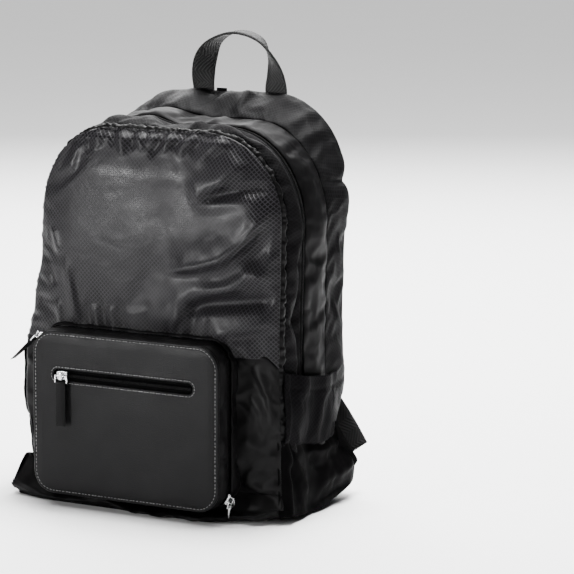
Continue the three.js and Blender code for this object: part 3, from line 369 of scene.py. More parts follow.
    def arch_point(self, share: float, u: float) -> Vector:
        """Point on the outline: u runs up the left side, over the top and down the right side."""
        half, top, across, down = self.arch(share)
        side = -1 if u < 0.5 else 1
        way = min(u, 1 - u)
        y = self.front + share * self.depth
        if way < self.side_share:
            z = self.rim + (top - down - self.rim) * (way / self.side_share)
            return Vector((side * (half + self.slump(z, side) - self.dent(share, z, side)), y, z))
        if way < self.side_share + self.corner_share:
            angle = (way - self.side_share) / self.corner_share * math.pi / 2
            z = top - down + down * math.sin(angle)
            x = half - across + across * math.cos(angle) + self.slump(z, side) - self.dent(share, z, side)
            return Vector((side * x, y, z + self.fill(share, u) - self.sink(share, side * x, z)))
        flat = 0.5 - self.side_share - self.corner_share
        x = side * (half - across) * (1 - (way - self.side_share - self.corner_share) / flat)
        return Vector((x, y, top + self.fill(share, u) - self.sink(share, x, top)))

    def sink(self, share: float, x: float, z: float) -> float:
        """How far the left shoulder sinks towards the back."""
        return self.shoulder_sink.height(x) * eased_share(z, 310, 400) * eased_share(share, 0.45, 1)

    def fill(self, share: float, u: float) -> float:
        """How far the left shoulder is filled up between the front edge and the back."""
        return self.shoulder_fill.height(u) * arc(share)

    def outward(self, share: float, u: float) -> Vector:
        """Direction out of the body, square to the outline."""
        step = 0.004
        before = self.arch_point(share, max(u - step, 0))
        after = self.arch_point(share, min(u + step, 1))
        return Vector((before.z - after.z, 0, after.x - before.x)).normalized()

    @cached_property
    def lengths(self) -> list[float]:
        """Share of the outline's real length at each of 240 even steps of u."""
        points = [self.arch_point(0.5, i / 240) for i in range(241)]
        lengths = [0.0]
        for a, b in zip(points, points[1:]):
            lengths.append(lengths[-1] + (b - a).length)
        return [length / lengths[-1] for length in lengths]

    def even(self, run: float) -> float:
        """The u whose place is at a share of the outline's real length."""
        lengths = self.lengths
        later = min(max(bisect_left(lengths, run), 1), len(lengths) - 1)
        span = lengths[later] - lengths[later - 1]
        return (later - 1 + (run - lengths[later - 1]) / span) / (len(lengths) - 1)

    def split_at(self, x: float) -> float:
        """Height of the seam between the two front panels, which falls away at its right end."""
        return self.split - self.split_fall * eased_share(x, self.split_fall_from, self.split_fall_to)

    def fullness(self, across: float) -> float:
        """Share of the front's dome that is left at a share of the way to its side."""
        return (1 - across ** 4) ** 0.8

    def dome_y(self, x: float, z: float) -> float:
        """Y of the front without its folds."""
        side = -1 if x < 0 else 1
        across = min(abs(x) / self.half_at(0, z, side), 1)
        fall = self.fullness(across)
        dome = between(self.dome_rows, z / self.height, "dome", True) * self.upper_dome
        return self.front - fall * dome

    def crease_rise(self, x: float, z: float) -> float:
        """Height of the front's creases at a place."""
        return self.crease_depth * sum(crease.height(x, z) for crease in self.creases)

    def front_y(self, x: float, z: float) -> float:
        """Y of the front with its folds, and with the upper panel hanging over the lower one."""
        side = -1 if x < 0 else 1
        half = self.half_at(0, z, side)
        across = min(abs(x) / half, 1)
        fall = self.fullness(across)
        still = eased_share(z, self.split, self.split + 2 * self.overhang)
        y = self.dome_y(x, z) - self.crease_rise(x, z) * still * min(fall * 2, 1)
        if z >= self.split_at(x):
            low = 1 - eased_share(z, self.split_at(x), self.split_at(x) + self.overhang_fall)
            y -= self.overhang * low * math.sqrt(max(1 - across ** 2, 0))
        return min(y, self.front)

    def back_y(self, x: float, z: float) -> float:
        """Y of the back panel."""
        top = self.arch_rows[-1].top * self.height
        side = -1 if x < 0 else 1
        across = min(abs(x) / self.half_at(1, z, side), 1)
        up = min(max((z - self.rim) / (top - self.rim), 0), 1)
        return self.back + self.back_bulge * (1 - across ** 4) * (1 - (2 * up - 1) ** 6)

    def bulge(self, u: float, v: float) -> float:
        """How far a side band stands out at a place on it."""
        total = arc(v)
        for fold in self.band_folds:
            inside = eased_share(v, fold.v0, fold.v0 + 0.3) * (1 - eased_share(v, fold.v1 - 0.3, fold.v1))
            total += fold.rise * inside * hump(u, fold.u, fold.breadth)
        return self.gusset_bulge * total

    def wall_x(self, side: int, y: float, z: float) -> float:
        """Distance of the side wall's outer face from the middle, folds included."""
        share = self.share_at(y)
        _, top, _, down = self.arch(share)
        way = self.side_share * (z - self.rim) / (top - down - self.rim)
        u = way if side < 0 else 1 - way
        lift = self.ruffle_rise if y < self.gusset_start else 0.0
        bands = (
            (self.gusset_start, self.zip_start, 1.0),
            (self.flap_start, self.rear_start, self.flap_share),
            (self.rear_start, self.back, 1.0),
        )
        for start, end, part in bands:
            if start <= y <= end:
                lift = max(self.bulge(u, (y - start) / (end - start)) * part, 0)
        return abs(self.arch_point(share, u).x) + lift

    def lifted(self, turn: float) -> float:
        """How far the base stands off the floor at a share of the way round."""
        return sum(lift.height(turn) for lift in self.lifts)

    def base_place(self, turn: float) -> tuple[Vector, Vector]:
        """Place on the walls just above the base, and the way out of it."""
        squareness = 7
        front, side = self.base_front, self.base_side
        corners = (
            (0.0, -self.half_at(0, self.rim, -1), self.front),
            (front, self.half_at(0, self.rim, 1), self.front),
            (front + side, self.half_at(1, self.rim, 1), self.back),
            (2 * front + side, -self.half_at(1, self.rim, -1), self.back),
            (1.0, -self.half_at(0, self.rim, -1), self.front),
        )
        later = next((i for i in range(1, 5) if corners[i][0] >= turn), 4)
        a, b = corners[later - 1], corners[later]
        share = (turn - a[0]) / (b[0] - a[0])
        x = a[1] + (b[1] - a[1]) * share
        y = a[2] + (b[2] - a[2]) * share
        out_x, out_y = (x / (self.width / 2)) ** squareness, (y / (self.depth / 2)) ** squareness
        return Vector((x, y, 0)), Vector((out_x, out_y, 0)).normalized()


class Weave(Enum):
    """Surface of a cloth."""

    RIPSTOP = "ripstop"
    PLAIN = "plain"
    TWILL = "twill"


THREAD_DEPTHS = {Weave.RIPSTOP: 0.00012, Weave.TWILL: 0.0004, Weave.PLAIN: 0.00003}


class Shader:
    """One procedural material, built node by node."""

    def __init__(self, name: str) -> None:
        """Starts the material with a surface shader and its output."""
        self.material = bpy.data.materials.new(name)
        self.material.use_nodes = True
        self.tree = self.material.node_tree
        self.tree.nodes.clear()
        self.surface = self.tree.nodes.new("ShaderNodeBsdfPrincipled")
        output = self.tree.nodes.new("ShaderNodeOutputMaterial")
        self.tree.links.new(self.surface.outputs[0], output.inputs[0])

    def fill(self, socket: Socket, value: object) -> None:
        """Links a socket to another, or sets its value."""
        if isinstance(value, Socket):
            self.tree.links.new(value, socket)
        elif value is not None:
            socket.default_value = value

    def node(self, kind: str, inputs: dict, output: int | str = 0, **settings: object) -> Socket:
        """Adds a node.

        Args:
            kind: The node's type.
            inputs: Its inputs by name or number.
            output: The output wanted.
            **settings: The node's own properties.

        Returns:
            The output.
        """
        made = self.tree.nodes.new(kind)
        for key, value in settings.items():
            setattr(made, key, value)
        for key, value in inputs.items():
            self.fill(made.inputs[key], value)
        return made.outputs[output]

    def math(self, operation: str, *values: object) -> Socket:
        """Adds a sum on numbers or outputs."""
        return self.node("ShaderNodeMath", dict(enumerate(values)), operation=operation)

    def space(self) -> Socket:
        """The place on the object."""
        return self.node("ShaderNodeTexCoord", {}, "Object")

    def flat(self) -> Socket:
        """The place on the flat cloth, in metres."""
        return self.node("ShaderNodeUVMap", {}, uv_map="cloth")

    def noise(self, where: object, scale: float, detail: float = 2, distortion: float = 0) -> Socket:
        """Adds soft noise."""
        inputs = {"Vector": where, "Scale": scale, "Detail": detail, "Distortion": distortion}
        return self.node("ShaderNodeTexNoise", inputs, "Fac")

    def mapped(self, value: object, low: float, high: float, to_low: float, to_high: float) -> Socket:
        """Maps one range of values to another, held at its ends."""
        inputs = {0: value, 1: low, 2: high, 3: to_low, 4: to_high}
        return self.node("ShaderNodeMapRange", inputs)

    def blend(self, factor: object, a: object, b: object) -> Socket:
        """Mixes two colours."""
        return self.node("ShaderNodeMix", {0: factor, 6: a, 7: b}, 2, data_type="RGBA")

    def turned(self, where: object, degrees: float, pitch: float) -> tuple[Socket, Socket]:
        """Flat place in a turned check of a pitch in metres, as two numbers."""
        turn, scale = (0, 0, math.radians(degrees)), (1 / pitch, 1 / pitch, 1)
        inputs = {"Vector": where, "Rotation": turn, "Scale": scale}
        place = self.node("ShaderNodeMapping", inputs)
        split = self.tree.nodes.new("ShaderNodeSeparateXYZ")
        self.tree.links.new(place, split.inputs[0])
        return split.outputs[0], split.outputs[1]

    def relief(self, *layers: tuple[object, float]) -> None:
        """Bumps the surface by heights, each with its depth in metres."""
        normal = None
        for height, depth in layers:
            inputs = {"Height": height, "Distance": depth, "Strength": 1.0, "Normal": normal}
            normal = self.node("ShaderNodeBump", inputs)
        self.fill(self.surface.inputs["Normal"], normal)

    def finish(self, **values: object) -> bpy.types.Material:
        """Sets the surface's sockets, named with underscores, and returns the material."""
        for key, value in values.items():
            self.fill(self.surface.inputs[key.replace("_", " ")], value)
        return self.material


def colour(red: float, green: float, blue: float) -> Colour:
    """A colour with full cover, its parts given in ten-thousandths because the cloths are so dark."""
    return red / 10000, green / 10000, blue / 10000, 1.0


@dataclass(frozen=True)
class ClothFinish:
    """A nylon cloth or webbing."""

    name: str
    dark: Colour
    light: Colour
    weave: Weave
    pitch: float = 0.0033
    roughness: float = 0.42
    crinkle: float = 1.0
    gloss: float = 0.22
    sheen: float = 0.0
    thread: float = 6.0
    patch_scale: float = 14.0
    crease_scale: float = 42.0
    fine_scale: float = 150.0

    def weave_height(self, shader: Shader) -> Socket:
        """Threads of the weave, from 0 between them to 1 on them."""
        flat = shader.flat()
        if self.weave is Weave.RIPSTOP:
            waves = [shader.math("PINGPONG", way, 0.5) for way in shader.turned(flat, 45, self.pitch)]
            return shader.math("MAXIMUM", *(shader.mapped(wave, 0.05, 0.16, 1, 0) for wave in waves))
        if self.weave is Weave.TWILL:
            across, along = shader.turned(flat, 0, self.pitch)
            wave = shader.math("PINGPONG", shader.math("MULTIPLY", along, 0.5), 3.0)
            slant = shader.math("ADD", across, wave)
            return shader.mapped(shader.math("PINGPONG", slant, 0.5), 0, 0.5, 0, 1)
        waves = [shader.math("PINGPONG", way, 0.5) for way in shader.turned(flat, 0, self.pitch)]
        return shader.math("ADD", *waves)

    def material(self) -> bpy.types.Material:
        """Builds the cloth's material."""
        shader = Shader(self.name)
        place = shader.space()
        threads = self.weave_height(shader)
        patches = shader.noise(place, self.patch_scale, 3)
        creases = shader.noise(place, self.crease_scale, 1, 0.8)
        fine = shader.noise(place, self.fine_scale, 1, 0.5)
        tone = shader.blend(shader.mapped(patches, 0.35, 0.65, 0, 1), self.dark, self.light)
        if self.weave is Weave.RIPSTOP:
            lighter = tuple(min(value * self.thread, 1.0) for value in self.light[:3]) + (1.0,)
            tone = shader.blend(shader.math("MULTIPLY", threads, 0.95), tone, lighter)
        elif self.weave is Weave.TWILL:
            deeper = tuple(value * 0.35 for value in self.dark[:3]) + (1.0,)
            tone = shader.blend(threads, deeper, tone)
        smears = shader.noise(place, 30, 4)
        rough = shader.mapped(smears, 0.3, 0.7, self.roughness - 0.06, self.roughness + 0.1)
        shader.relief(
            (patches, 0.005 * self.crinkle),
            (creases, 0.0014 * self.crinkle),
            (fine, 0.0001 * self.crinkle),
            (threads, THREAD_DEPTHS[self.weave]),
        )
        return shader.finish(
            Base_Color=tone,
            Roughness=rough,
            Specular_IOR_Level=self.gloss,
            Sheen_Weight=self.sheen,
            Sheen_Roughness=0.4,
        )


@dataclass(frozen=True)
class LeatherFinish:
    """Smooth satin leather with a fine grain."""

    name: str
    dark: Colour
    light: Colour
    roughness: float = 0.4
    grain: float = 900.0
    gloss: float = 0.065

    def material(self) -> bpy.types.Material:
        """Builds the leather's material."""
        shader = Shader(self.name)
        place = shader.space()
        clouds = shader.noise(place, 22, 4)
        pebbles = shader.node("ShaderNodeTexVoronoi", {"Vector": place, "Scale": self.grain}, "Distance")
        pores = shader.noise(place, 2200, 2)
        swell = shader.noise(place, 16, 1)
        shader.relief((swell, 0.0025), (pebbles, 0.00011), (pores, 0.00004))
        tone = shader.blend(shader.mapped(clouds, 0.3, 0.7, 0, 1), self.dark, self.light)
        smears = shader.noise(place, 60, 4)
        rough = shader.mapped(smears, 0.3, 0.7, self.roughness - 0.04, self.roughness + 0.07)
        return shader.finish(Base_Color=tone, Roughness=rough, Specular_IOR_Level=self.gloss)


@dataclass(frozen=True)
class HardFinish:
    """Metal or moulded plastic."""

    name: str
    dark: Colour
    light: Colour
    metal: float
    roughness: float
    gloss: float = 0.5

    def material(self) -> bpy.types.Material:
        """Builds the hard material, with a little handling wear."""
        shader = Shader(self.name)
        place = shader.space()
        smears = shader.noise(place, 180, 4, 0.4)
        scratches = shader.noise(place, 1400, 2, 1.5)
        shader.relief((smears, 0.00006), (scratches, 0.00002))
        tone = shader.blend(shader.mapped(smears, 0.3, 0.7, 0, 1), self.dark, self.light)
        rough = shader.mapped(smears, 0.3, 0.7, self.roughness, self.roughness + 0.1)
        return shader.finish(Base_Color=tone, Metallic=self.metal, Roughness=rough,
                             Specular_IOR_Level=self.gloss)


class Wardrobe:
    """Every finish of the bag, each with its material made once."""

    finishes = {
        "ripstop": ClothFinish("ripstop nylon", colour(10, 9.5, 10.5), colour(18, 17, 19), Weave.RIPSTOP,
                               roughness=0.36, crinkle=0.45, gloss=0.09, thread=10.0),
        # Side nylon: the ripstop with a fainter grid, as on the side bands, and a darker tone, which is
        # painted shade on them.
        "side": ClothFinish("side nylon with painted shade", colour(17, 16, 18), colour(28, 27, 29), Weave.RIPSTOP,
                            roughness=0.6, crinkle=0.6, gloss=0.03, thread=2.1),
        # Rear nylon: the side nylon a little lighter, which paints the light on the rear top; like the side
        # nylon it is darker than the ripstop, painted shade on the sides.
        "rear": ClothFinish("rear nylon with painted light and shade", colour(19, 18, 20), colour(31, 30, 32), Weave.RIPSTOP,
                            roughness=0.56, crinkle=0.6, gloss=0.038, thread=2.1),
        # Pocket nylon: the side nylon darker still, which paints the shade on the pockets.
        "pocket": ClothFinish("pocket nylon with painted shade", colour(12, 11, 13), colour(20, 19, 21), Weave.RIPSTOP,
                              roughness=0.6, crinkle=0.6, gloss=0.01, thread=2.4),
        "strap": ClothFinish("strap nylon", colour(26, 25, 27), colour(40, 38, 41), Weave.RIPSTOP,
                             roughness=0.5, crinkle=0.4, gloss=0.14, thread=2.4),
        "smooth": ClothFinish("smooth nylon", colour(20, 19, 21), colour(34, 32, 34), Weave.PLAIN,
                              pitch=0.0006, roughness=0.5, crinkle=0.8, gloss=0.042),
        # Foot nylon: the base nylon darker, which paints the shade near the floor on the base's sides and the
        # wings.
        "foot": ClothFinish("foot nylon with painted shade", colour(10, 10, 11), colour(19, 18, 19), Weave.PLAIN, pitch=0.0006,
                            roughness=0.5, gloss=0.005),
        "base": ClothFinish("base nylon", colour(15, 14, 15), colour(26, 25, 26), Weave.PLAIN, pitch=0.0006,
                            roughness=0.46, gloss=0.065),
        "webbing": ClothFinish("webbing", colour(80, 80, 81), colour(150, 147, 150), Weave.TWILL,
                               pitch=0.0022, roughness=0.62, crinkle=0.1, gloss=0.12),
        "handle": ClothFinish("handle webbing", colour(200, 200, 202), colour(350, 346, 350), Weave.TWILL,
                              pitch=0.0022, roughness=0.62, crinkle=0.1, gloss=0.12),
        "tape": ClothFinish("zip tape", colour(9, 9, 10), colour(18, 18, 19), Weave.TWILL, pitch=0.0009,
                            roughness=0.7, crinkle=0.1, gloss=0.03),
        "thread": ClothFinish("light thread", colour(1000, 1000, 1000), colour(1800, 1800, 1800), Weave.PLAIN,
                              pitch=0.0004, roughness=0.6, crinkle=0.0, gloss=0.3, sheen=0.3),
        "dark_thread": ClothFinish("dark thread", colour(120, 120, 120), colour(200, 200, 200), Weave.PLAIN,
                                   pitch=0.0004, roughness=0.6, crinkle=0.0, gloss=0.3, sheen=0.2),
        "leather": LeatherFinish("pouch leather", colour(25, 25, 27), colour(36, 36, 38)),
        "tongue": LeatherFinish("pull leather", colour(5, 5, 6), colour(10, 10, 11), 0.45, gloss=0.05),
        "coil": HardFinish("zip coil", colour(10, 10, 11), colour(20, 20, 22), 0.0, 0.34, 0.07),
        "metal": HardFinish("polished zip metal", colour(4200, 4200, 4300), colour(5800, 5800, 5900),
                            1.0, 0.2),
        "plastic": HardFinish("moulded nylon", colour(40, 40, 43), colour(70, 70, 74), 0.0, 0.42),
    }

    def __init__(self) -> None:
        """Starts with no material made."""
        self.made: dict[str, bpy.types.Material] = {}

    def __getitem__(self, name: str) -> bpy.types.Material:
        """The material of a finish."""
        if name not in self.made:
            self.made[name] = self.finishes[name].material()
        return self.made[name]


class Station(NamedTuple):
    """A place along a strap: its middle, the way its width runs, its width and its thickness."""

    at: Vector
    across: Vector
    width: float
    wall: float


class Bench:
    """Makes meshes into pieces of the bag and dresses them."""

    def __init__(self, wardrobe: Wardrobe) -> None:
        """Takes the finishes."""
        self.wardrobe = wardrobe

    def piece(self, name: str, bm: Net, finish: str, slot: str, *replaces: str,
              body: str = "bag") -> Thing:
        """Writes a mesh as a piece, in metres, with its finish and body.

        Args:
            name: The piece's name.
            bm: Its mesh in millimetres, which is freed.
            finish: Its finish in the wardrobe.
            slot: Not used.
            *replaces: The modelled nodes that it stands for.
            body: The body that it moves with.

        Returns:
            The new object.
        """
        bmesh.ops.scale(bm, vec=(MM, MM, MM), verts=bm.verts)
        mesh = bpy.data.meshes.new(name)
        for face in bm.faces:
            face.smooth = True
        bm.to_mesh(mesh)
        bm.free()
        made = bpy.data.objects.new(name, mesh)
        bpy.context.scene.collection.objects.link(made)
        mesh.materials.append(self.wardrobe[finish])
        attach(made, body)
        if replaces:
            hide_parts(*replaces)
        log.info("%s: %d faces", name, len(mesh.polygons))
        return made

    def sheet(self, across: int, up: int, size: Pair, place: Place,
              pinned: Optional[Pins] = None, ring: bool = False, turned: bool = False,
              upright: bool = False) -> Net:
        """Lays a grid over a surface.

        Args:
            across: Steps across.
            up: Steps up.
            size: The flat cloth's size in millimetres, for its weave.
            place: Gives the surface's point for shares across and up.
            pinned: Says which corners are held while the cloth settles.
            ring: True where the first and last columns are one.
            turned: True to turn the faces over.
            upright: True where the weave follows the place across and up, not the shares.

        Returns:
            The mesh in millimetres.
        """
        bm = bmesh.new()
        bmesh.ops.create_grid(bm, x_segments=across, y_segments=up, size=0.5)
        cloth = bm.loops.layers.uv.new("cloth")
        held = bm.verts.layers.deform.verify()
        for face in bm.faces:
            for loop in face.loops:
                at = loop.vert.co
                loop[cloth].uv = ((at.x + 0.5) * size[0] * MM, (at.y + 0.5) * size[1] * MM)
        for vert in bm.verts:
            u, v = vert.co.x + 0.5, vert.co.y + 0.5
            vert.co = place(u, v)
            if pinned is not None:
                vert[held][0] = float(pinned(u, v))
        if upright:
            for face in bm.faces:
                for loop in face.loops:
                    loop[cloth].uv = (loop.vert.co.x * MM, loop.vert.co.z * MM)
        if ring:
            bmesh.ops.remove_doubles(bm, verts=bm.verts, dist=1e-4)
        if turned:
            bmesh.ops.reverse_faces(bm, faces=bm.faces)
        return bm

    def walled(self, made: Thing, wall: float, levels: int = 1) -> None:
        """Finishes a sheet with a subdivision and its thickness, which goes inwards."""
        if levels:
            fine = made.modifiers.new("fine", "SUBSURF")
            fine.levels = fine.render_levels = levels
        thick = made.modifiers.new("thickness", "SOLIDIFY")
        thick.thickness = wall * MM
        thick.offset = -1.0
        thick.use_rim = True

    def run(self, stations: Sequence[Station], section: Sequence[Pair]) -> Net:
        """A closed tube with a section through a row of stations.

        Args:
            stations: The stations in order.
            section: The section's corners, as shares of half the width and of half the wall.

        Returns:
            The mesh in millimetres.
        """
        sides = len(section)
        steps = len(stations) - 1
        lengths = [0.0]
        for a, b in zip(stations, stations[1:]):
            lengths.append(lengths[-1] + (b.at - a.at).length)
        frames = []
        for i, station in enumerate(stations):
            before, after = stations[max(i - 1, 0)].at, stations[min(i + 1, steps)].at
            frames.append((station, *square_to((after - before).normalized(), station.across)))

        def place(u: float, v: float) -> Vector:
            """Corner of the tube."""
            station, wide, thick = frames[round(v * steps)]
            a, b = section[round(u * sides) % sides]
            return station.at + wide * (a * station.width / 2) + thick * (b * station.wall / 2)

        bm = self.sheet(sides, steps, (stations[0].width * 2, lengths[-1]), place, ring=True)
        bmesh.ops.holes_fill(bm, edges=[edge for edge in bm.edges if edge.is_boundary], sides=0)
        bmesh.ops.recalc_face_normals(bm, faces=bm.faces)
        return bm

    def bars(self, name: str, places: Sequence[Bar], size: Point, finish: str, slot: str,
             sides: int = 1) -> None:
        """Many small rounded bars as one piece.

        Args:
            name: The piece's name.
            places: For each bar its middle, the way along it and the way out of the surface.
            size: Half its length, half its breadth and half its height.
            finish: Its finish in the wardrobe.
            slot: The record's material slot.
            sides: How finely a bar is rounded.
        """
        one = bmesh.new()
        bmesh.ops.create_icosphere(one, subdivisions=sides, radius=1.0)
        pattern = bpy.data.meshes.new("stud")
        one.to_mesh(pattern)
        one.free()
        bm = bmesh.new()
        for middle, along, out in places:
            along = along.normalized()
            side = out.cross(along).normalized()
            up = along.cross(side).normalized()
            copy = pattern.copy()
            copy.transform(set_down(along * size[0], side * size[1], up * size[2], middle))
            bm.from_mesh(copy)
            bpy.data.meshes.remove(copy)
        bpy.data.meshes.remove(pattern)
        self.piece(name, bm, finish, slot)

    def copied(self, node: str, edge: float) -> Net:
        """Copy of a modelled node with its flat faces joined and its edges rounded.

        Args:
            node: The node.
            edge: Radius of its edges in millimetres.

        Returns:
            The mesh in millimetres.
        """
        bm = bmesh.new()
        bm.from_mesh(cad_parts[node].data)
        bmesh.ops.scale(bm, vec=(1 / MM, 1 / MM, 1 / MM), verts=bm.verts)
        bmesh.ops.remove_doubles(bm, verts=bm.verts, dist=1e-3)
        flat, corner = math.radians(2), math.radians(28)
        bmesh.ops.dissolve_limit(bm, angle_limit=flat, verts=bm.verts, edges=bm.edges)
        sharp = [e for e in bm.edges if len(e.link_faces) == 2 and e.calc_face_angle(0) > corner]
        bmesh.ops.bevel(bm, geom=sharp, offset=edge, offset_type="OFFSET", segments=2, profile=0.5,
                        affect="EDGES", clamp_overlap=True, material=-1)
        return bm


def smooth_run(stations: Sequence[Station], count: int) -> list[Station]:
    """More stations on a smooth curve through the given ones.

    Args:
        stations: The stations to pass through.
        count: Steps wanted.

    Returns:
        One more station than the steps.
    """
    def curve(points: Sequence[Vector], share: float) -> Vector:
        """Point on a Catmull-Rom curve with centripetal knots."""
        last = len(points) - 1
        place = share * last
        i = min(int(place), last - 1)
        t = place - i
        p1, p2 = points[i], points[i + 1]
        p0 = points[i - 1] if i > 0 else p1 * 2 - p2
        p3 = points[i + 2] if i + 2 <= last else p2 * 2 - p1
        gaps = [max((b - a).length, 1e-6) ** 0.5 for a, b in ((p0, p1), (p1, p2), (p2, p3))]
        m1 = ((p1 - p0) / gaps[0] - (p2 - p0) / (gaps[0] + gaps[1]) + (p2 - p1) / gaps[1]) * gaps[1]
        m2 = ((p2 - p1) / gaps[1] - (p3 - p1) / (gaps[1] + gaps[2]) + (p3 - p2) / gaps[2]) * gaps[1]
        return bent(p1, p2, m1, m2, t)

    middles = [station.at for station in stations]
    ways = [station.across for station in stations]
    made = []
    for i in range(count + 1):
        share = i / count
        place = share * (len(stations) - 1)
        low = stations[min(int(place), len(stations) - 1)]
        high = stations[min(int(place) + 1, len(stations) - 1)]
        part = place - int(place)
        made.append(Station(
            curve(middles, share),
            curve(ways, share).normalized(),
            low.width + (high.width - low.width) * part,
            low.wall + (high.wall - low.wall) * part,
        ))
    return made


@dataclass
class Settling:
    """A cloth that waits to settle: how much too large it was cut and how far it may move."""

    made: Thing
    growth: float = 0.04
    pressure: float = 0.0
    cap: float = 6.0
    bend: float = 1.0
    floor: Optional[float] = None


@dataclass
class Sheet:
    """A finished cloth: its wall in millimetres, its flat size in metres and how it is held."""

    made: Thing
    wall: float
    flat: Pair
    held: str


CLOTH_SETTINGS = {
    "quality": 6,
    "mass": 0.12,
    "air_damping": 2.0,
    "tension_stiffness": 25,
    "compression_stiffness": 25,
    "shear_stiffness": 12,
    "bending_damping": 1.0,
    "vertex_group_mass": "pins",
    "pin_stiffness": 1.0,
}


@dataclass
class ClothRoom:
    """Lets the cloths settle together, in one run of Blender's cloth simulation."""

    bench: Bench
    frames: int = 18
    waiting: list[Settling] = field(default_factory=list)
    sheets: list[Sheet] = field(default_factory=list)

    def declare(self) -> None:
        """Gives every cloth a subdivision and its thickness."""
        for sheet in self.sheets:
            self.bench.walled(sheet.made, sheet.wall)

    def dress(self, item: Settling) -> None:
        """Gives a waiting cloth its simulation."""
        made = item.made
        if "pins" not in made.vertex_groups:
            made.vertex_groups.new(name="pins")
        cloth = made.modifiers.new("settling", "CLOTH")
        values = cloth.settings
        for name, value in CLOTH_SETTINGS.items():
            setattr(values, name, value)
        values.bending_stiffness = item.bend
        values.shrink_min = -item.growth
        values.effector_weights.gravity = 0.0
        if item.pressure:
            values.use_pressure = True
            values.uniform_pressure_force = item.pressure
        cloth.collision_settings.use_collision = False
        cloth.collision_settings.use_self_collision = False
        cloth.point_cache.frame_start = 1
        cloth.point_cache.frame_end = self.frames

    def settle(self) -> None:
        """Runs the simulation and keeps its result, within each cloth's cap."""
        starts = {}
        for item in self.waiting:
            starts[item.made.name] = [vert.co.copy() for vert in item.made.data.vertices]
            self.dress(item)
        scene = bpy.context.scene
        for number in range(1, self.frames + 1):
            scene.frame_set(number)
        depsgraph = bpy.context.evaluated_depsgraph_get()
        for item in self.waiting:
            shape = item.made.evaluated_get(depsgraph).data
            cap = item.cap * MM
            moved = []
            for start, vert in zip(starts[item.made.name], shape.vertices):
                step = vert.co - start
                if step.length > 1e-9:
                    step *= math.tanh(step.length / cap) * cap / step.length
                at = start + step
                if item.floor is not None:
                    at.z = max(at.z, item.floor * MM)
                moved.append(at)
            item.made.modifiers.remove(item.made.modifiers["settling"])
            for vert, at in zip(item.made.data.vertices, moved):
                vert.co = at
            log.info("%s settled", item.made.name)
        scene.frame_set(1)


@dataclass
class Puckers:
    """Gathers of a cloth along a seam."""

    rise: float
    spacing: float
    reach: float
    seed: float

    def height(self, along: float, away: float) -> float:
        """Height at a distance along the seam and away from it."""
        if away < 0:
            return 0.0
        wave = wander(along / self.spacing, away / self.reach * 0.35, self.seed)
        wide = wander(along / (self.spacing * 2.7), away / self.reach * 0.3, self.seed + 7)
        near = 1 - math.exp(-away / 2.2)
        return self.rise * (0.65 * wave + 0.6 * wide) * near * math.exp(-away / self.reach) * 2


@dataclass
class Maker:
    """What every maker of a part of the bag works with."""

    form: BagForm
    bench: Bench
    room: ClothRoom

    def cloth(self, name: str, bm: Net, finish: str, slot: str, nodes: Sequence[str], flat: Pair,
              held: str, wall: float = CLOTH_WALL, **settling: float) -> None:
        """Makes a mesh into a cloth, which gets its subdivision and thickness at the end and may settle
        before.

        Args:
            name: The piece's name.
            bm: Its mesh in millimetres.
            finish: Its finish in the wardrobe.
            slot: The record's material slot.
            nodes: The modelled nodes that it stands for.
            flat: Its flat size in metres.
            held: How its edges are held.
            wall: Its thickness in millimetres.
            **settling: How it settles.
        """
        made = self.bench.piece(name, bm, finish, slot, *nodes)
        self.room.sheets.append(Sheet(made, wall, flat, held))
        if settling:
            self.room.waiting.append(Settling(made, **settling))

    def zipped(self, node: str, tape: Net, teeth: Sequence[Bar], size: Point) -> None:
        """Makes a zip's tape and its coil.

        Args:
            node: The modelled zip.
            tape: Mesh of its tape.
            teeth: The turns of its coil.
            size: Half of a turn's length, breadth and height.
        """
        made = self.bench.piece(f"{node}_tape", tape, "tape", "zip_tape", node)
        self.bench.walled(made, 0.6, 0)
        self.bench.bars(f"{node}_coil", teeth, size, "coil", "zip_tape")


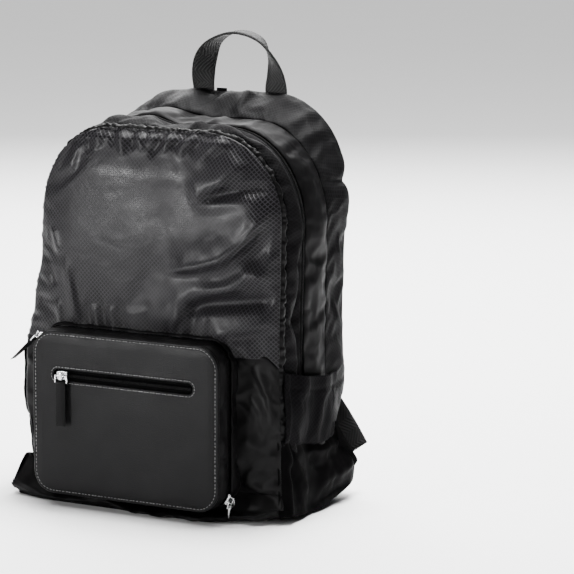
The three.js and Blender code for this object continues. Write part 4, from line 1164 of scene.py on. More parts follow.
@dataclass
class BodyCloth(Maker):
    """The cloth panels and bands of the body, from the front seam to the back."""

    ruffle_start: float = -73.7
    rear_end: float = 73.9
    crowding: float = 1.25

    def seam_z(self, u: float) -> float:
        """Height of the seam between the front panels at a share across."""
        form = self.form
        return form.split_at(-form.half_at(0, form.split, -1) + 2 * form.half_at(0, form.split, 1) * u)

    def across(self, share: float, u: float, z: float) -> Pair:
        """X at a share across a panel, and its distance from the nearer side."""
        left, right = self.form.half_at(share, z, -1), self.form.half_at(share, z, 1)
        x = -left + (left + right) * u
        return x, min(left + x, right - x)

    def front_panel(self) -> None:
        """The upper front, with its folds and its gathers under the top seam."""
        form = self.form
        top = form.arch_rows[0].top * form.height
        middle, radius = 190, 165
        gathers = Puckers(2.2, 6, 8, 3.0)
        sides = Puckers(1.8, 9, 12, 9.0)
        foot = Puckers(1.0, 9, 8, 15.0)

        def place(u: float, v: float) -> Vector:
            """Point of the panel."""
            low = self.seam_z(u)
            z = low + (top - low) * (1 - (1 - v) ** self.crowding)
            x, away = self.across(0, u, z)
            turn = math.atan2(x, z - middle) * radius
            rise = gathers.height(turn, top - z) * eased_share(z, 300, 350)
            rise += sides.height(turn, away) * eased_share(away, 0, 3)
            rise += foot.height(x, z - low)
            edge = min(eased_share(away, 0, 5), eased_share(top - z, 0, 4))
            return Vector((x, form.front_y(x, z) - rise * edge, z))

        bm = self.bench.sheet(104, 82, (282, 232), place, sewn(0.004, 0.004), upright=True)
        self.cloth("front_panel_cloth", bm, "ripstop", "ripstop", ["front_panel"], (0.282, 0.232),
                   "stretched", growth=0.012, cap=1.6, bend=1.0)

    def lower_front(self) -> None:
        """The smooth panel behind the pouch."""
        form = self.form
        tucked = 3
        sides = Puckers(1.8, 16, 22, 21.0)
        creases = table(
            Crease,
            (((94, 86), (118, 80), (142, 58)), 4.5, 9, 5), (((94, 58), (118, 66), (140, 90)), -3, 5, 6),
            (((108, 166), (126, 132), (136, 92)), 3.2, 6, 5),
            (((98, 134), (110, 114), (118, 84)), -2.6, 5, 5), (((94, 46), (118, 34), (142, 42)), 4, 7, 5),
        )

        def place(u: float, v: float) -> Vector:
            """Point of the panel."""
            high = self.seam_z(u) + tucked
            z = form.rim + (high - form.rim) * v
            x, away = self.across(0, u, z)
            hidden = eased_share(away, 44, 30)
            rise = sides.height(z, away) * max(hidden, 0)
            rise += 0.8 * sum(crease.height(x, z) for crease in creases)
            return Vector((x, form.dome_y(x, z) - rise * eased_share(away, 0, 5), z))

        def pinned(u: float, v: float) -> bool:
            """Sewn all round, and held behind the pouch."""
            return min(u, 1 - u, v, 1 - v) < 0.006 or 0.2 < u < 0.7

        bm = self.bench.sheet(90, 40, (282, 146), place, pinned)
        self.cloth("lower_front_cloth", bm, "base", "smooth_nylon", ["lower_front_panel"], (0.282, 0.146),
                   "stretched", growth=0.03, cap=4, bend=1.5)

    def band(self, name: str, node: str, start: float, end: float, finish: str, slot: str, rows: int,
             lift: Callable[[float, float], float], puckers: Puckers, growth: float, cap: float,
             steps: int = 230, dip: float = 1.6) -> None:
        """One band round the body.

        Args:
            name: The piece's name.
            node: The modelled node.
            start: Y of its front edge.
            end: Y of its rear edge.
            finish: Its finish.
            slot: Its material slot.
            rows: Steps across the band.
            lift: Height over the outline for shares round and across.
            puckers: Gathers at its two edges.
            growth: How much too large it was cut.
            cap: How far it may move as it settles.
            steps: Steps round the body.
            dip: How far its two seams sink in.
        """
        form = self.form
        first, last = form.share_at(start), form.share_at(end)
        fuller = 1.2 if end - start < 15 else 1.0

        def place(u: float, v: float) -> Vector:
            """Point of the band."""
            share = first + (last - first) * v
            at = form.even(u)
            away = min(v, 1 - v) * (end - start)
            sink = dip * (1 - 0.7 * eased_share(u, 0.8, 0.88) - 0.7 * eased_share(u, 0.2, 0.12))
            rise = lift(at, v) * eased_share(away, 0, 3) - sink * (1 - eased_share(away, 0, 3.6))
            seam = u * BODY_ROUND + (0 if v < 0.5 else 300)
            rise += puckers.height(seam, away)
            return form.arch_point(share, at) + form.outward(share, at) * rise

        bm = self.bench.sheet(steps, rows, (BODY_ROUND, end - start), place, sewn(0.002, 0.01))
        flat = (BODY_ROUND * MM, (end - start) * fuller * MM)
        self.cloth(name, bm, finish, slot, [node], flat, "gathered", growth=growth, cap=cap, bend=1.0)

    def channelled(self, u: float, v: float) -> float:
        """Height of the front band, which folds in deeply before the zip on its right side."""
        right = eased_share(u, 0.56, 0.66)
        return self.form.bulge(u, v) - 8.0 * right * hump(v, 0.76, 0.17) + 2.5 * right * hump(v, 0.3, 0.22)

    def bands(self) -> None:
        """The gathered front edge, the side bands and the flap behind the zip."""
        form = self.form
        self.band("front_edge_cloth", "front_zip_ruffle", self.ruffle_start - 1.8, form.gusset_start, "base",
                  "ripstop", 8, lambda u, v: 2.2 * arc(v), Puckers(4.2, 3.6, 6, 31.0), 0.03, 2.0,
                  steps=520, dip=2.6)
        # The front band's side nylon is darkened to paint the shade on the side.
        self.band("front_gusset_cloth", "front_gusset", form.gusset_start, form.zip_start, "side", "ripstop",
                  14, self.channelled, Puckers(1.8, 12, 12, 33.0), 0.04, 4.0)
        self.band("flap_cloth", "main_flap", form.flap_start, form.rear_start, "smooth", "smooth_nylon", 13,
                  lambda u, v: form.bulge(u, v) * form.flap_share, Puckers(1.3, 14, 12, 35.0), 0.03, 3.5)
        # The rear band's nylon is lighter than the side nylon for painted light on the rear top, and darker
        # than the ripstop for painted shade on the sides.
        self.band("rear_gusset_cloth", "rear_gusset", form.rear_start, self.rear_end + 1.6, "rear", "ripstop",
                  14, form.bulge, Puckers(1.5, 13, 14, 37.0), 0.04, 4.0)

    def main_zip(self) -> None:
        """The tape of the main zip, and its coil."""
        form = self.form
        first, last = form.share_at(form.zip_start), form.share_at(form.flap_start)
        count, sunk = 640, 1.4

        def place(u: float, v: float) -> Vector:
            """Point of the tape."""
            share = first + (last - first) * v
            at = form.even(u)
            return form.arch_point(share, at) - form.outward(share, at) * (1.9 - 0.2 * arc(v))

        bm = self.bench.sheet(200, 4, (BODY_ROUND, 7), place)
        middle = (first + last) / 2
        places = []
        for i in range(count):
            at = form.even((i + 0.5) / count)
            out = form.outward(middle, at)
            places.append((form.arch_point(middle, at) - out * sunk, Vector((0, 1, 0)), out))
        self.zipped("main_zip", bm, places, (2.3, 0.62, 0.6))

    def back_panel(self) -> None:
        """The plain back."""
        form = self.form
        top = form.arch_rows[-1].top * form.height
        middle, radius = 220, 180
        sides = Puckers(1.4, 15, 16, 41.0)

        def place(u: float, v: float) -> Vector:
            """Point of the back."""
            z = form.rim + (top - form.rim) * (1 - (1 - v) ** self.crowding)
            x, away = self.across(1, u, z)
            away = min(away, top - z)
            rise = sides.height(math.atan2(x, z - middle) * radius, away) * eased_share(away, 0, 4)
            return Vector((x, form.back_y(x, z) + rise, z - form.sink(1, x, z)))

        bm = self.bench.sheet(64, 84, (280, 395), place, sewn(0.005, 0.005), turned=True, upright=True)
        self.cloth("back_panel_cloth", bm, "ripstop", "ripstop", ["back_panel"], (0.28, 0.395), "stretched",
                   growth=0.02, cap=3, bend=2)

    def base(self) -> None:
        """The base, which spreads on the floor."""
        form = self.form
        rings = ((0.0, 0.0, 1.0, False), (0.1, 0.06, 0.66, False), (0.12, 0.2, 1.15, True),
                 (0.1, 0.86, 0.96, True), (0.1, 1.0, 0.42, True), (-0.06, 0.93, 0.0, True))
        seam = Puckers(2.0, 14, 18, 51.0)
        length, breadth, cap_height = 860, 60, 20

        def ring_point(turn: float, ring: tuple[float, float, float, bool]) -> Vector:
            """Point of one of the base's rings."""
            at, out = form.base_place(turn)
            spread, reach_share, high, by_lip = ring
            reach = between(form.base_rows, turn, "reach", True) * form.depth
            lip = between(form.base_rows, turn, "lip", True) * form.rim
            at = at + out * (spread * form.rim + reach_share * reach)
            fin = eased_share(lip / form.rim, 0.5, 0.9) * (1 - eased_share(reach_share, 0.3, 0.8))
            if not by_lip:
                at.z = high * form.rim
                return at
            at.z = min(high * lip * (1 + 0.4 * fin), form.rim * (0.6 + 0.95 * fin))
            at.z += form.lifted(turn) * (1 - at.z / form.rim)
            return at

        def place(u: float, v: float) -> Vector:
            """Point of the base, between its rings."""
            points = [ring_point(u, ring) for ring in rings]
            last = len(points) - 1
            i = min(int(v * last), last - 1)
            a, b = points[i], points[i + 1]
            before, after = points[max(i - 1, 0)], points[min(i + 2, last)]
            at = bent(a, b, (b - before) * 0.4, (after - a) * 0.4, v * last - i)
            _, out = form.base_place(u)
            rise = seam.height(u * length, v * breadth) * eased_share(v, 0, 0.1)
            rise *= 1 - eased_share(v, 0.7, 1)
            at = at + out * rise
            at.z = max(at.z + rise * 0.5 * eased_share(v, 0.1, 0.3), 0.0)
            return at

        def pinned(u: float, v: float) -> bool:
            """Sewn at the top and held by the floor."""
            return v < 0.01 or v > 0.9

        bm = self.bench.sheet(190, 22, (length, breadth), place, pinned, ring=True, turned=True)
        rim = [edge for edge in bm.edges
               if edge.is_boundary and max(vert.co.z for vert in edge.verts) < cap_height]
        bmesh.ops.triangle_fill(bm, edges=rim, use_beauty=True, use_dissolve=False, normal=(0, 0, -1))
        self.cloth("base_cloth", bm, "base", "smooth_nylon", ["base_panel"], (0.36, 0.24), "gathered",
                   growth=0.05, cap=4, bend=1, floor=0.0)

    def base_side(self, name: str, side: int) -> None:
        """The smooth cloth from the base up to the pocket's foot, drawn out at the back to the webbing.

        Args:
            name: left or right.
            side: -1 or 1.
        """
        form = self.form
        start, turned_at, foot = form.front - 1.6, 0.86, 3.0
        wing_z, front_share, edge = 36, 0.06, 3
        foot_of_pocket, drop, sag = 88, 16, 5
        ridges = table(
            Crease,
            (((-66, 74), (-44, 50), (-30, 22)), 3.4, 4, 7), (((-70, 66), (-58, 42), (-52, 16)), -3.0, 4, 5),
            (((74, 44), (46, 34), (14, 32), (-16, 24)), 4.0, 5, 8),
            (((60, 60), (36, 52), (10, 56)), -3.5, 5, 6), (((40, 68), (4, 62), (-34, 70)), 2.6, 5, 5),
            (((60, 20), (20, 16), (-20, 12)), -2.6, 4, 5), (((-26, 66), (-8, 48), (16, 44)), -3.0, 5, 4),
        )

        def place(u: float, v: float) -> Vector:
            """Point of the cloth."""
            along = min(u / turned_at, 1)
            y = start + (form.back - start) * along
            high = foot_of_pocket - drop * along - sag * arc(along)
            low = foot + form.lifted(form.base_front + form.base_side * along)
            z = low + (high - low) * v
            wall = form.wall_x(side, y, max(z, form.rim))
            free = eased_share(along, 0, 0.05) * (1 - eased_share(v, 0.82, 1))
            slack = 5.5 * (1 - 0.45 * v) * free
            drawn = max(1 - abs(z - wing_z) / (42 if z > wing_z else 46), 0) ** 0.85
            wing = drawn * eased_share(along, 0.35, 1) ** 1.6
            out = wall + 0.6 + slack + 9.5 * wing * free
            out += 0.8 * sum(ridge.height(y, z) for ridge in ridges) * free
            out += 0.6 * wander(y / 14, z / 14, 61.0 + side) * free
            out = max(out, wall + 0.5)
            back = eased_share(u, turned_at, 1)
            if along < front_share:
                seat = form.half_at(0, max(z, form.rim), side) - edge
                out += (seat - out) * (1 - along / front_share) ** 2
            if u > turned_at:
                out += (wall - edge - out) * (u - turned_at) / (1 - turned_at)
                y = form.back + 1.4 * arc(back)
            return Vector((side * out, y, z))

        bm = self.bench.sheet(72, 34, (190, 84), place, turned=side < 0)
        # The cloth takes the foot nylon, whose darker tone is painted shade near the floor.
        self.cloth(f"base_side_cloth_{name}", bm, "foot", "smooth_nylon", [], (0.18, 0.075), "gathered")

    def build(self) -> None:
        """Makes all of the body's cloth."""
        self.front_panel()
        self.lower_front()
        self.bands()
        self.main_zip()
        self.back_panel()
        self.base()
        self.base_side("left", -1)
        self.base_side("right", 1)


class OutlinePoint(NamedTuple):
    """A point on a rounded outline and the way out of it."""

    x: float
    z: float
    out_x: float
    out_z: float


def rounded_outline(turn: float, width: float, height: float, corner: float, x: float,
                    z: float) -> OutlinePoint:
    """Point on a rounded rectangle, by its share of the way round from the middle of the foot.

    Args:
        turn: The share, which goes right first.
        width: Width of the rectangle.
        height: Height of the rectangle.
        corner: Radius of its corners.
        x: Its middle across.
        z: Its middle up.

    Returns:
        The point.
    """
    flat, bend, upright = 0.0875, 0.1, 0.0625
    half_w, half_h = width / 2 - corner, height / 2 - corner
    turn %= 1.0
    side = 1 if turn <= 0.5 else -1
    way = min(turn, 1 - turn)
    up = 1 if way > 0.25 else -1
    way = min(way, 0.5 - way)
    core_x, core_z, out_x, out_z = half_w, half_h, 1.0, 0.0
    if way <= flat:
        core_x, out_x, out_z = half_w * way / flat, 0.0, 1.0
    elif way <= flat + bend:
        angle = (way - flat) / bend * math.pi / 2
        out_x, out_z = math.sin(angle), math.cos(angle)
    else:
        core_z = half_h * (1 - (way - flat - bend) / upright)
    return OutlinePoint(x + side * (core_x + out_x * corner), z + up * (core_z + out_z * corner),
                        side * out_x, up * out_z)


def spaced(points: Sequence[OutlinePoint], pitch: float) -> Iterator[tuple[OutlinePoint, OutlinePoint]]:
    """Neighbours on an outline at which a stitch or a tooth of a zip is due.

    Args:
        points: Points close together on the outline.
        pitch: Distance from one stitch to the next.

    Yields:
        A point and the next one.
    """
    gone = due = 0.0
    for a, b in zip(points, points[1:]):
        gone += math.hypot(b.x - a.x, b.z - a.z)
        if gone >= due:
            due += pitch
            yield a, b


@dataclass
class LeatherPouch(Maker):
    """The leather pouch low on the front, with its zips, stitches and sides."""

    width: float = 217.0
    height: float = 172.0
    corner: float = 24.0
    depth: float = 30.0
    bottom: float = 14.0
    offset: float = -20.0
    leather: float = 2.0
    pillow: float = 3.0
    flare: float = 6.0
    flare_below: float = 1.0
    zip_width: float = 5.0
    zip_sink: float = 1.2
    front_strip: float = 14.0
    slot_length: float = 163.0
    slot_height: float = 11.5
    slot_below_top: float = 45.0
    slot_offset: float = -1.5
    stitch_in: float = 3.3
    slot_stitch_out: float = 2.3
    stitch_pitch: float = 3.9
    slot_stitch_pitch: float = 3.4
    tooth_pitch: float = 1.45

    @property
    def face(self) -> float:
        """Y of the leather's edge."""
        return self.form.front - self.form.lower_dome - self.depth

    @property
    def middle(self) -> float:
        """Height of the pouch's middle."""
        return self.bottom + self.height / 2

    @property
    def slot_x(self) -> float:
        """Middle of the slot across."""
        return self.offset + self.slot_offset

    @property
    def slot_z(self) -> float:
        """Middle of the slot up."""
        return self.bottom + self.height - self.slot_below_top

    def leather_y(self, x: float, z: float) -> float:
        """Y of the leather's face."""
        across = abs(x - self.offset) / (self.width / 2)
        up = abs(z - self.middle) / (self.height / 2)
        flat = (1 - 0.45 * eased_share(across, 0.9, 1.0)) * (1 - 0.45 * eased_share(up, 0.88, 1.0))
        ripple = 0.35 * wander(x / 45, z / 38, 61.0)
        return self.face - self.pillow * flat - ripple * flat

    def edge(self, turn: float, inside: float) -> OutlinePoint:
        """Point on the leather's outline, moved inside it."""
        return rounded_outline(turn, self.width - 2 * inside, self.height - 2 * inside,
                               max(self.corner - inside, 2), self.offset, self.middle)

    def slot(self, turn: float, outside: float) -> OutlinePoint:
        """Point on the slot's outline, moved outside it."""
        corner = (self.slot_height - 0.8) / 2 + outside
        return rounded_outline(turn, self.slot_length + 2 * outside, self.slot_height + 2 * outside, corner,
                               self.slot_x, self.slot_z)

    def front(self) -> None:
        """The leather front, rolled over at its edge and round its slot."""
        rim = ((0.6, 3.4), (0.1, 3.0), (0.0, 1.0), (0.15, 0.35), (0.6, 0.0), (1.6, -0.2), (2.6, -0.1),
               (3.3, 0.2), (4.0, -0.05), (6.5, -0.02), (11.0, 0.0))
        hole = ((8.0, 0.0), (4.2, -0.1), (3.0, -0.12), (2.3, 0.14), (1.7, -0.12), (0.9, -0.2), (0.3, -0.1),
                (0.0, 0.5), (0.1, 1.6))
        between_rows = 8
        total = len(rim) + between_rows + len(hole) - 1

        def place(u: float, v: float) -> Vector:
            """Point of the leather."""
            row = round(v * total)
            inside, back = rim[min(row, len(rim) - 1)]
            at = self.edge(u, inside)
            x, z = at.x, at.z
            if row >= len(rim):
                outside, back = hole[max(row - len(rim) - between_rows, 0)]
                share = min((row - len(rim) + 1) / (between_rows + 1), 1)
                slot = self.slot(u, outside)
                x, z = x + (slot.x - x) * share, z + (slot.z - z) * share
            return Vector((x, self.leather_y(x, z) + back, z))

        bm = self.bench.sheet(160, total, (700, 90), place, ring=True)
        made = self.bench.piece("pouch_leather", bm, "leather", "leather", "pouch_leather_front")
        self.bench.walled(made, 1.0)

    def stitches(self) -> None:
        """The light stitches inside the leather's edge and round the slot."""
        rows = (([self.edge(i / 900, self.stitch_in) for i in range(901)], self.stitch_pitch),
                ([self.slot(i / 900, self.slot_stitch_out) for i in range(901)], self.slot_stitch_pitch))
        places = []
        for points, pitch in rows:
            for a, b in spaced(points, pitch):
                middle = Vector((a.x, self.leather_y(a.x, a.z) - 0.05, a.z))
                places.append((middle, Vector((b.x - a.x, 0, b.z - a.z)), Vector((0, -1, 0))))
        self.bench.bars("pouch_stitches", places, (1.3, 0.3, 0.34), "thread", "leather", 2)

    def grown(self, turn: float, share: float, sink: float) -> OutlinePoint:
        """Point on the pouch's side, at a share of its depth."""
        at = self.edge(turn, 0)
        below = max(-at.out_z, 0)
        flare = (self.flare + (self.flare_below - self.flare) * below) * share - self.leather / 2 - sink
        return OutlinePoint(at.x + at.out_x * flare, at.z + at.out_z * flare, at.out_x, at.out_z)

    def behind(self, x: float, z: float) -> float:
        """Y of what the pouch is sewn to."""
        form = self.form
        share = min(max((form.rim - z) / (form.rim * 0.34), 0), 1)
        base = form.front - (form.rim * 0.12 + 0.04 * form.depth) * share
        return base if z < form.rim else min(form.front_y(x, z), base)

    def strip(self, node: str, start: float, end: float, rows: int, puckers: Puckers) -> None:
        """One strip of the pouch's side.

        Args:
            node: The modelled node.
            start: Distance of its front edge behind the leather.
            end: The same for its rear edge, or the pouch's depth for the bag.
            rows: Steps across it.
            puckers: Its gathers.
        """
        first = self.face + self.leather

        def place(u: float, v: float) -> Vector:
            """Point of the strip."""
            run = start + (end - start) * v
            share = min(run / (self.depth - self.leather), 1)
            at = self.grown(u, share, 0)
            y = first + run
            if end >= self.depth:
                seat = self.grown(u, 1, 0)
                y = first + start + (self.behind(seat.x, seat.z) + 0.8 - first - start) * v
            away = min(v, 1 - v) * (end - start)
            rise = puckers.height(u * POUCH_ROUND, away) + 0.8 * arc(v)
            return Vector((at.x + at.out_x * rise, y, at.z + at.out_z * rise))

        size = (POUCH_ROUND, end - start)
        bm = self.bench.sheet(200, rows, size, place, sewn(0, 0.01), ring=True, turned=True)
        flat = (size[0] * MM, size[1] * MM)
        self.cloth(f"{node}_cloth", bm, "smooth", "smooth_nylon", [node], flat, "stretched",
                   growth=0.02, cap=2.0, bend=1.0)

    def sides(self) -> None:
        """The two strips of the side and the zip between them."""
        zip_start = self.front_strip
        rear = zip_start + self.zip_width + 0.6
        self.strip("pouch_front_strip", 0, self.front_strip, 5, Puckers(0.7, 9, 8, 71.0))
        self.strip("pouch_rear_strip", rear, self.depth, 4, Puckers(0.8, 11, 8, 73.0))
        first = self.face + self.leather
        share = (zip_start + self.zip_width / 2) / (self.depth - self.leather)
        middle_y = first + zip_start + self.zip_width / 2 + 0.3

        def tape(u: float, v: float) -> Vector:
            """Point of the zip's tape."""
            at = self.grown(u, share, self.zip_sink + 0.3)
            return Vector((at.x, first + zip_start - 0.6 + (self.zip_width + 1.8) * v, at.z))

        bm = self.bench.sheet(180, 3, (POUCH_ROUND, 7), tape, ring=True, turned=True)
        points = [self.grown(i / 3600, share, self.zip_sink - 0.15) for i in range(3601)]
        places = [(Vector((a.x, middle_y, a.z)), Vector((0, 1, 0)), Vector((a.out_x, 0, a.out_z)))
                  for a, _ in spaced(points, self.tooth_pitch)]
        self.zipped("pouch_zip", bm, places, (2.1, 0.55, 0.5))

    def pocket_zip(self) -> None:
        """Tape and coil behind the slot."""
        y = self.face - self.pillow + self.leather + 0.35
        length, height = self.slot_length + 11, self.slot_height + 11
        count, reach = 118, self.slot_length / 2 - 3

        def place(u: float, v: float) -> Vector:
            """Point of the tape."""
            return Vector((self.slot_x + (u - 0.5) * length, y, self.slot_z + (v - 0.5) * height))

        bm = self.bench.sheet(60, 6, (length, height), place)
        places = [(Vector((self.slot_x - reach + 2 * reach * i / (count - 1), y - 0.55, self.slot_z)),
                   Vector((0, 0, 1)), Vector((0, -1, 0))) for i in range(count)]
        self.zipped("pocket_zip", bm, places, (2.7, 0.55, 0.7))

    def build(self) -> None:
        """Makes the whole pouch."""
        self.front()
        self.stitches()
        self.sides()
        self.pocket_zip()


class ZipPulls(Maker):
    """The three sliders with their rings and tongues."""

    def build(self) -> None:
        """Makes each slider, ring and tongue from its modelled node."""
        sets = (
            ("pocket", "pocket_slide", "pocket_tongue", "pocket_pull_ring"),
            ("pouch_side", "bag", "side_tongue", "pouch_side_ring"),
            ("pouch_end", "bag", "end_tongue", "pouch_end_ring"),
        )
        for name, seat, swing, ring in sets:
            slider, pull = f"{name}_slider", f"{name}_pull"
            metal = ("metal", "zip_metal")
            tongue = metal if name == "pouch_end" else ("tongue", "pull_leather")
            bench = self.bench
            bench.piece(f"{name}_slider_metal", bench.copied(slider, 0.45), *metal, slider, body=seat)
            bench.piece(f"{name}_ring_metal", bench.copied(ring, 0.3), *metal, ring, body=swing)
            bench.piece(f"{name}_tongue", bench.copied(pull, 0.5), *tongue, pull, body=swing)


@dataclass
class CarryHandle(Maker):
    """The webbing loop on top, and the small tab beside it."""

    tab_seat: float = 5.0
    width: float = 25.0
    wall: float = 2.6
    span: float = 86.0
    rise: float = 62.0
    offset: float = 12.0
    tail: float = 26.0
    lean: float = 3.0
    rows: tuple[Point, ...] = (
        (-0.5, 0.04, 0), (-0.5, 0.22, 12), (-0.46, 0.52, 38), (-0.34, 0.82, 72), (-0.14, 0.98, 90),
        (0.08, 1, 92), (0.3, 0.88, 104), (0.44, 0.6, 130), (0.5, 0.3, 160), (0.5, 0.04, 180),
    )

    def stations(self) -> list[Station]:
        """The handle's stations from its left tail to its right one."""
        form = self.form
        clear = 0.6 + self.wall / 2
        made = []
        for x, z, turn in self.rows:
            angle = math.radians(turn)
            y = form.back + clear - self.lean * eased_share(z, 0, 0.5)
            made.append(Station(Vector((self.offset + x * self.span, y, form.height + z * self.rise)),
                                Vector((math.cos(angle), math.sin(angle), 0)), self.width, self.wall))
        tails = []
        for x in (-0.5, 0.5):
            across = Vector((1 if x < 0 else -1, 0, 0))
            at_x = self.offset + x * self.span
            heights = [form.height - self.tail * (1 - share) for share in (0, 0.4, 0.8)]
            points = [Vector((at_x, form.back_y(at_x, z) + clear, z)) for z in heights]
            tails.append([Station(at, across, self.width, self.wall) for at in points])
        return tails[0] + made + tails[1][::-1]

    def build(self) -> None:
        """Makes the handle and the tab."""
        section = webbing_section(0.5, 0.95)
        run = smooth_run(self.stations(), 90)
        bm = self.bench.run(run, section)
        self.bench.piece("carry_handle_webbing", bm, "handle", "webbing", "carry_handle")
        places = []
        for side in (-0.42, 0.42):
            for step in range(1, len(run) - 1):
                station = run[step]
                along = (run[step + 1].at - run[step - 1].at).normalized()
                wide, thick = square_to(along, station.across)
                for face in (-1, 1):
                    middle = station.at + wide * (side * station.width)
                    middle += thick * (face * (station.wall / 2 + 0.05))
                    places.append((middle, along, thick * face))
        self.bench.bars("carry_handle_stitches", places, (1.1, 0.3, 0.25), "dark_thread", "webbing")
        tab = self.bench.copied("seam_tab", 0.5)
        foot = min(vert.co.z for vert in tab.verts)
        for vert in tab.verts:
            vert.co.z -= self.tab_seat if vert.co.z < foot + 1 else self.tab_seat / 2
        self.bench.piece("seam_tab_webbing", tab, "tape", "webbing", "seam_tab")


@dataclass
class SidePockets(Maker):
    """The two side pockets, open along the top."""

    start: float = 3.0
    reach: float = 112.0
    top: float = 157.0
    bottom: float = 84.0
    drop: float = 16.0
    puff: float = 9.0
    stand: float = 1.8
    hem_at: float = 0.845
    foot_sag: float = 5.0
    hem_sag: float = 3.5

    def pocket(self, name: str, side: int) -> None:
        """One pocket, its hem sagging and its foot folded.

        Args:
            name: left or right.
            side: -1 or 1.
        """
        form = self.form
        gathers = Puckers(0.8, 9, 20, 81.0 + side)

        def place(u: float, v: float) -> Vector:
            """Point of the pocket."""
            y = form.front + self.start + self.reach * u
            middle = arc(u)
            low = self.bottom - self.drop * u - self.foot_sag * middle
            high = self.top - self.drop * u - self.hem_sag * middle
            z = low + (high - low) * v
            puff = self.puff * middle ** 0.7 * math.sin(math.pi / 2 * min(v * 1.5, 1))
            puff += gathers.height(y, v * (high - low)) * middle
            hem = 0.9 * eased_share(v, 0.8, 0.84) - hump(v, self.hem_at, 0.012)
            puff += 1.6 * middle + hem
            x = form.wall_x(side, y, z) + (self.stand + max(puff, 0)) * eased_share(v, 0, 0.07)
            return Vector((side * x, y, z))

        def pinned(u: float, v: float) -> bool:
            """Sewn at its sides and its foot, and held by its hem."""
            return min(u, 1 - u) < 0.01 or v < 0.02 or v > 0.82

        bm = self.bench.sheet(40, 30, (self.reach, self.top - self.bottom), place, pinned, turned=side < 0)
        node = f"side_pocket_{name}"
        # The pockets take the pocket nylon, whose darker tone is painted shade.
        self.cloth(f"{node}_cloth", bm, "pocket", "ripstop", [node], (0.116, 0.076), "gathered", 1.0,
                   growth=0.03, cap=3, bend=1.5)

    def build(self) -> None:
        """Makes both pockets."""
        self.pocket("left", -1)
        self.pocket("right", 1)


class StrapRow(NamedTuple):
    """Shoulder strap at a share of the way down, its sizes as shares of the strap's."""

    at: float
    out: float
    drift: float
    width: float
    pad: float


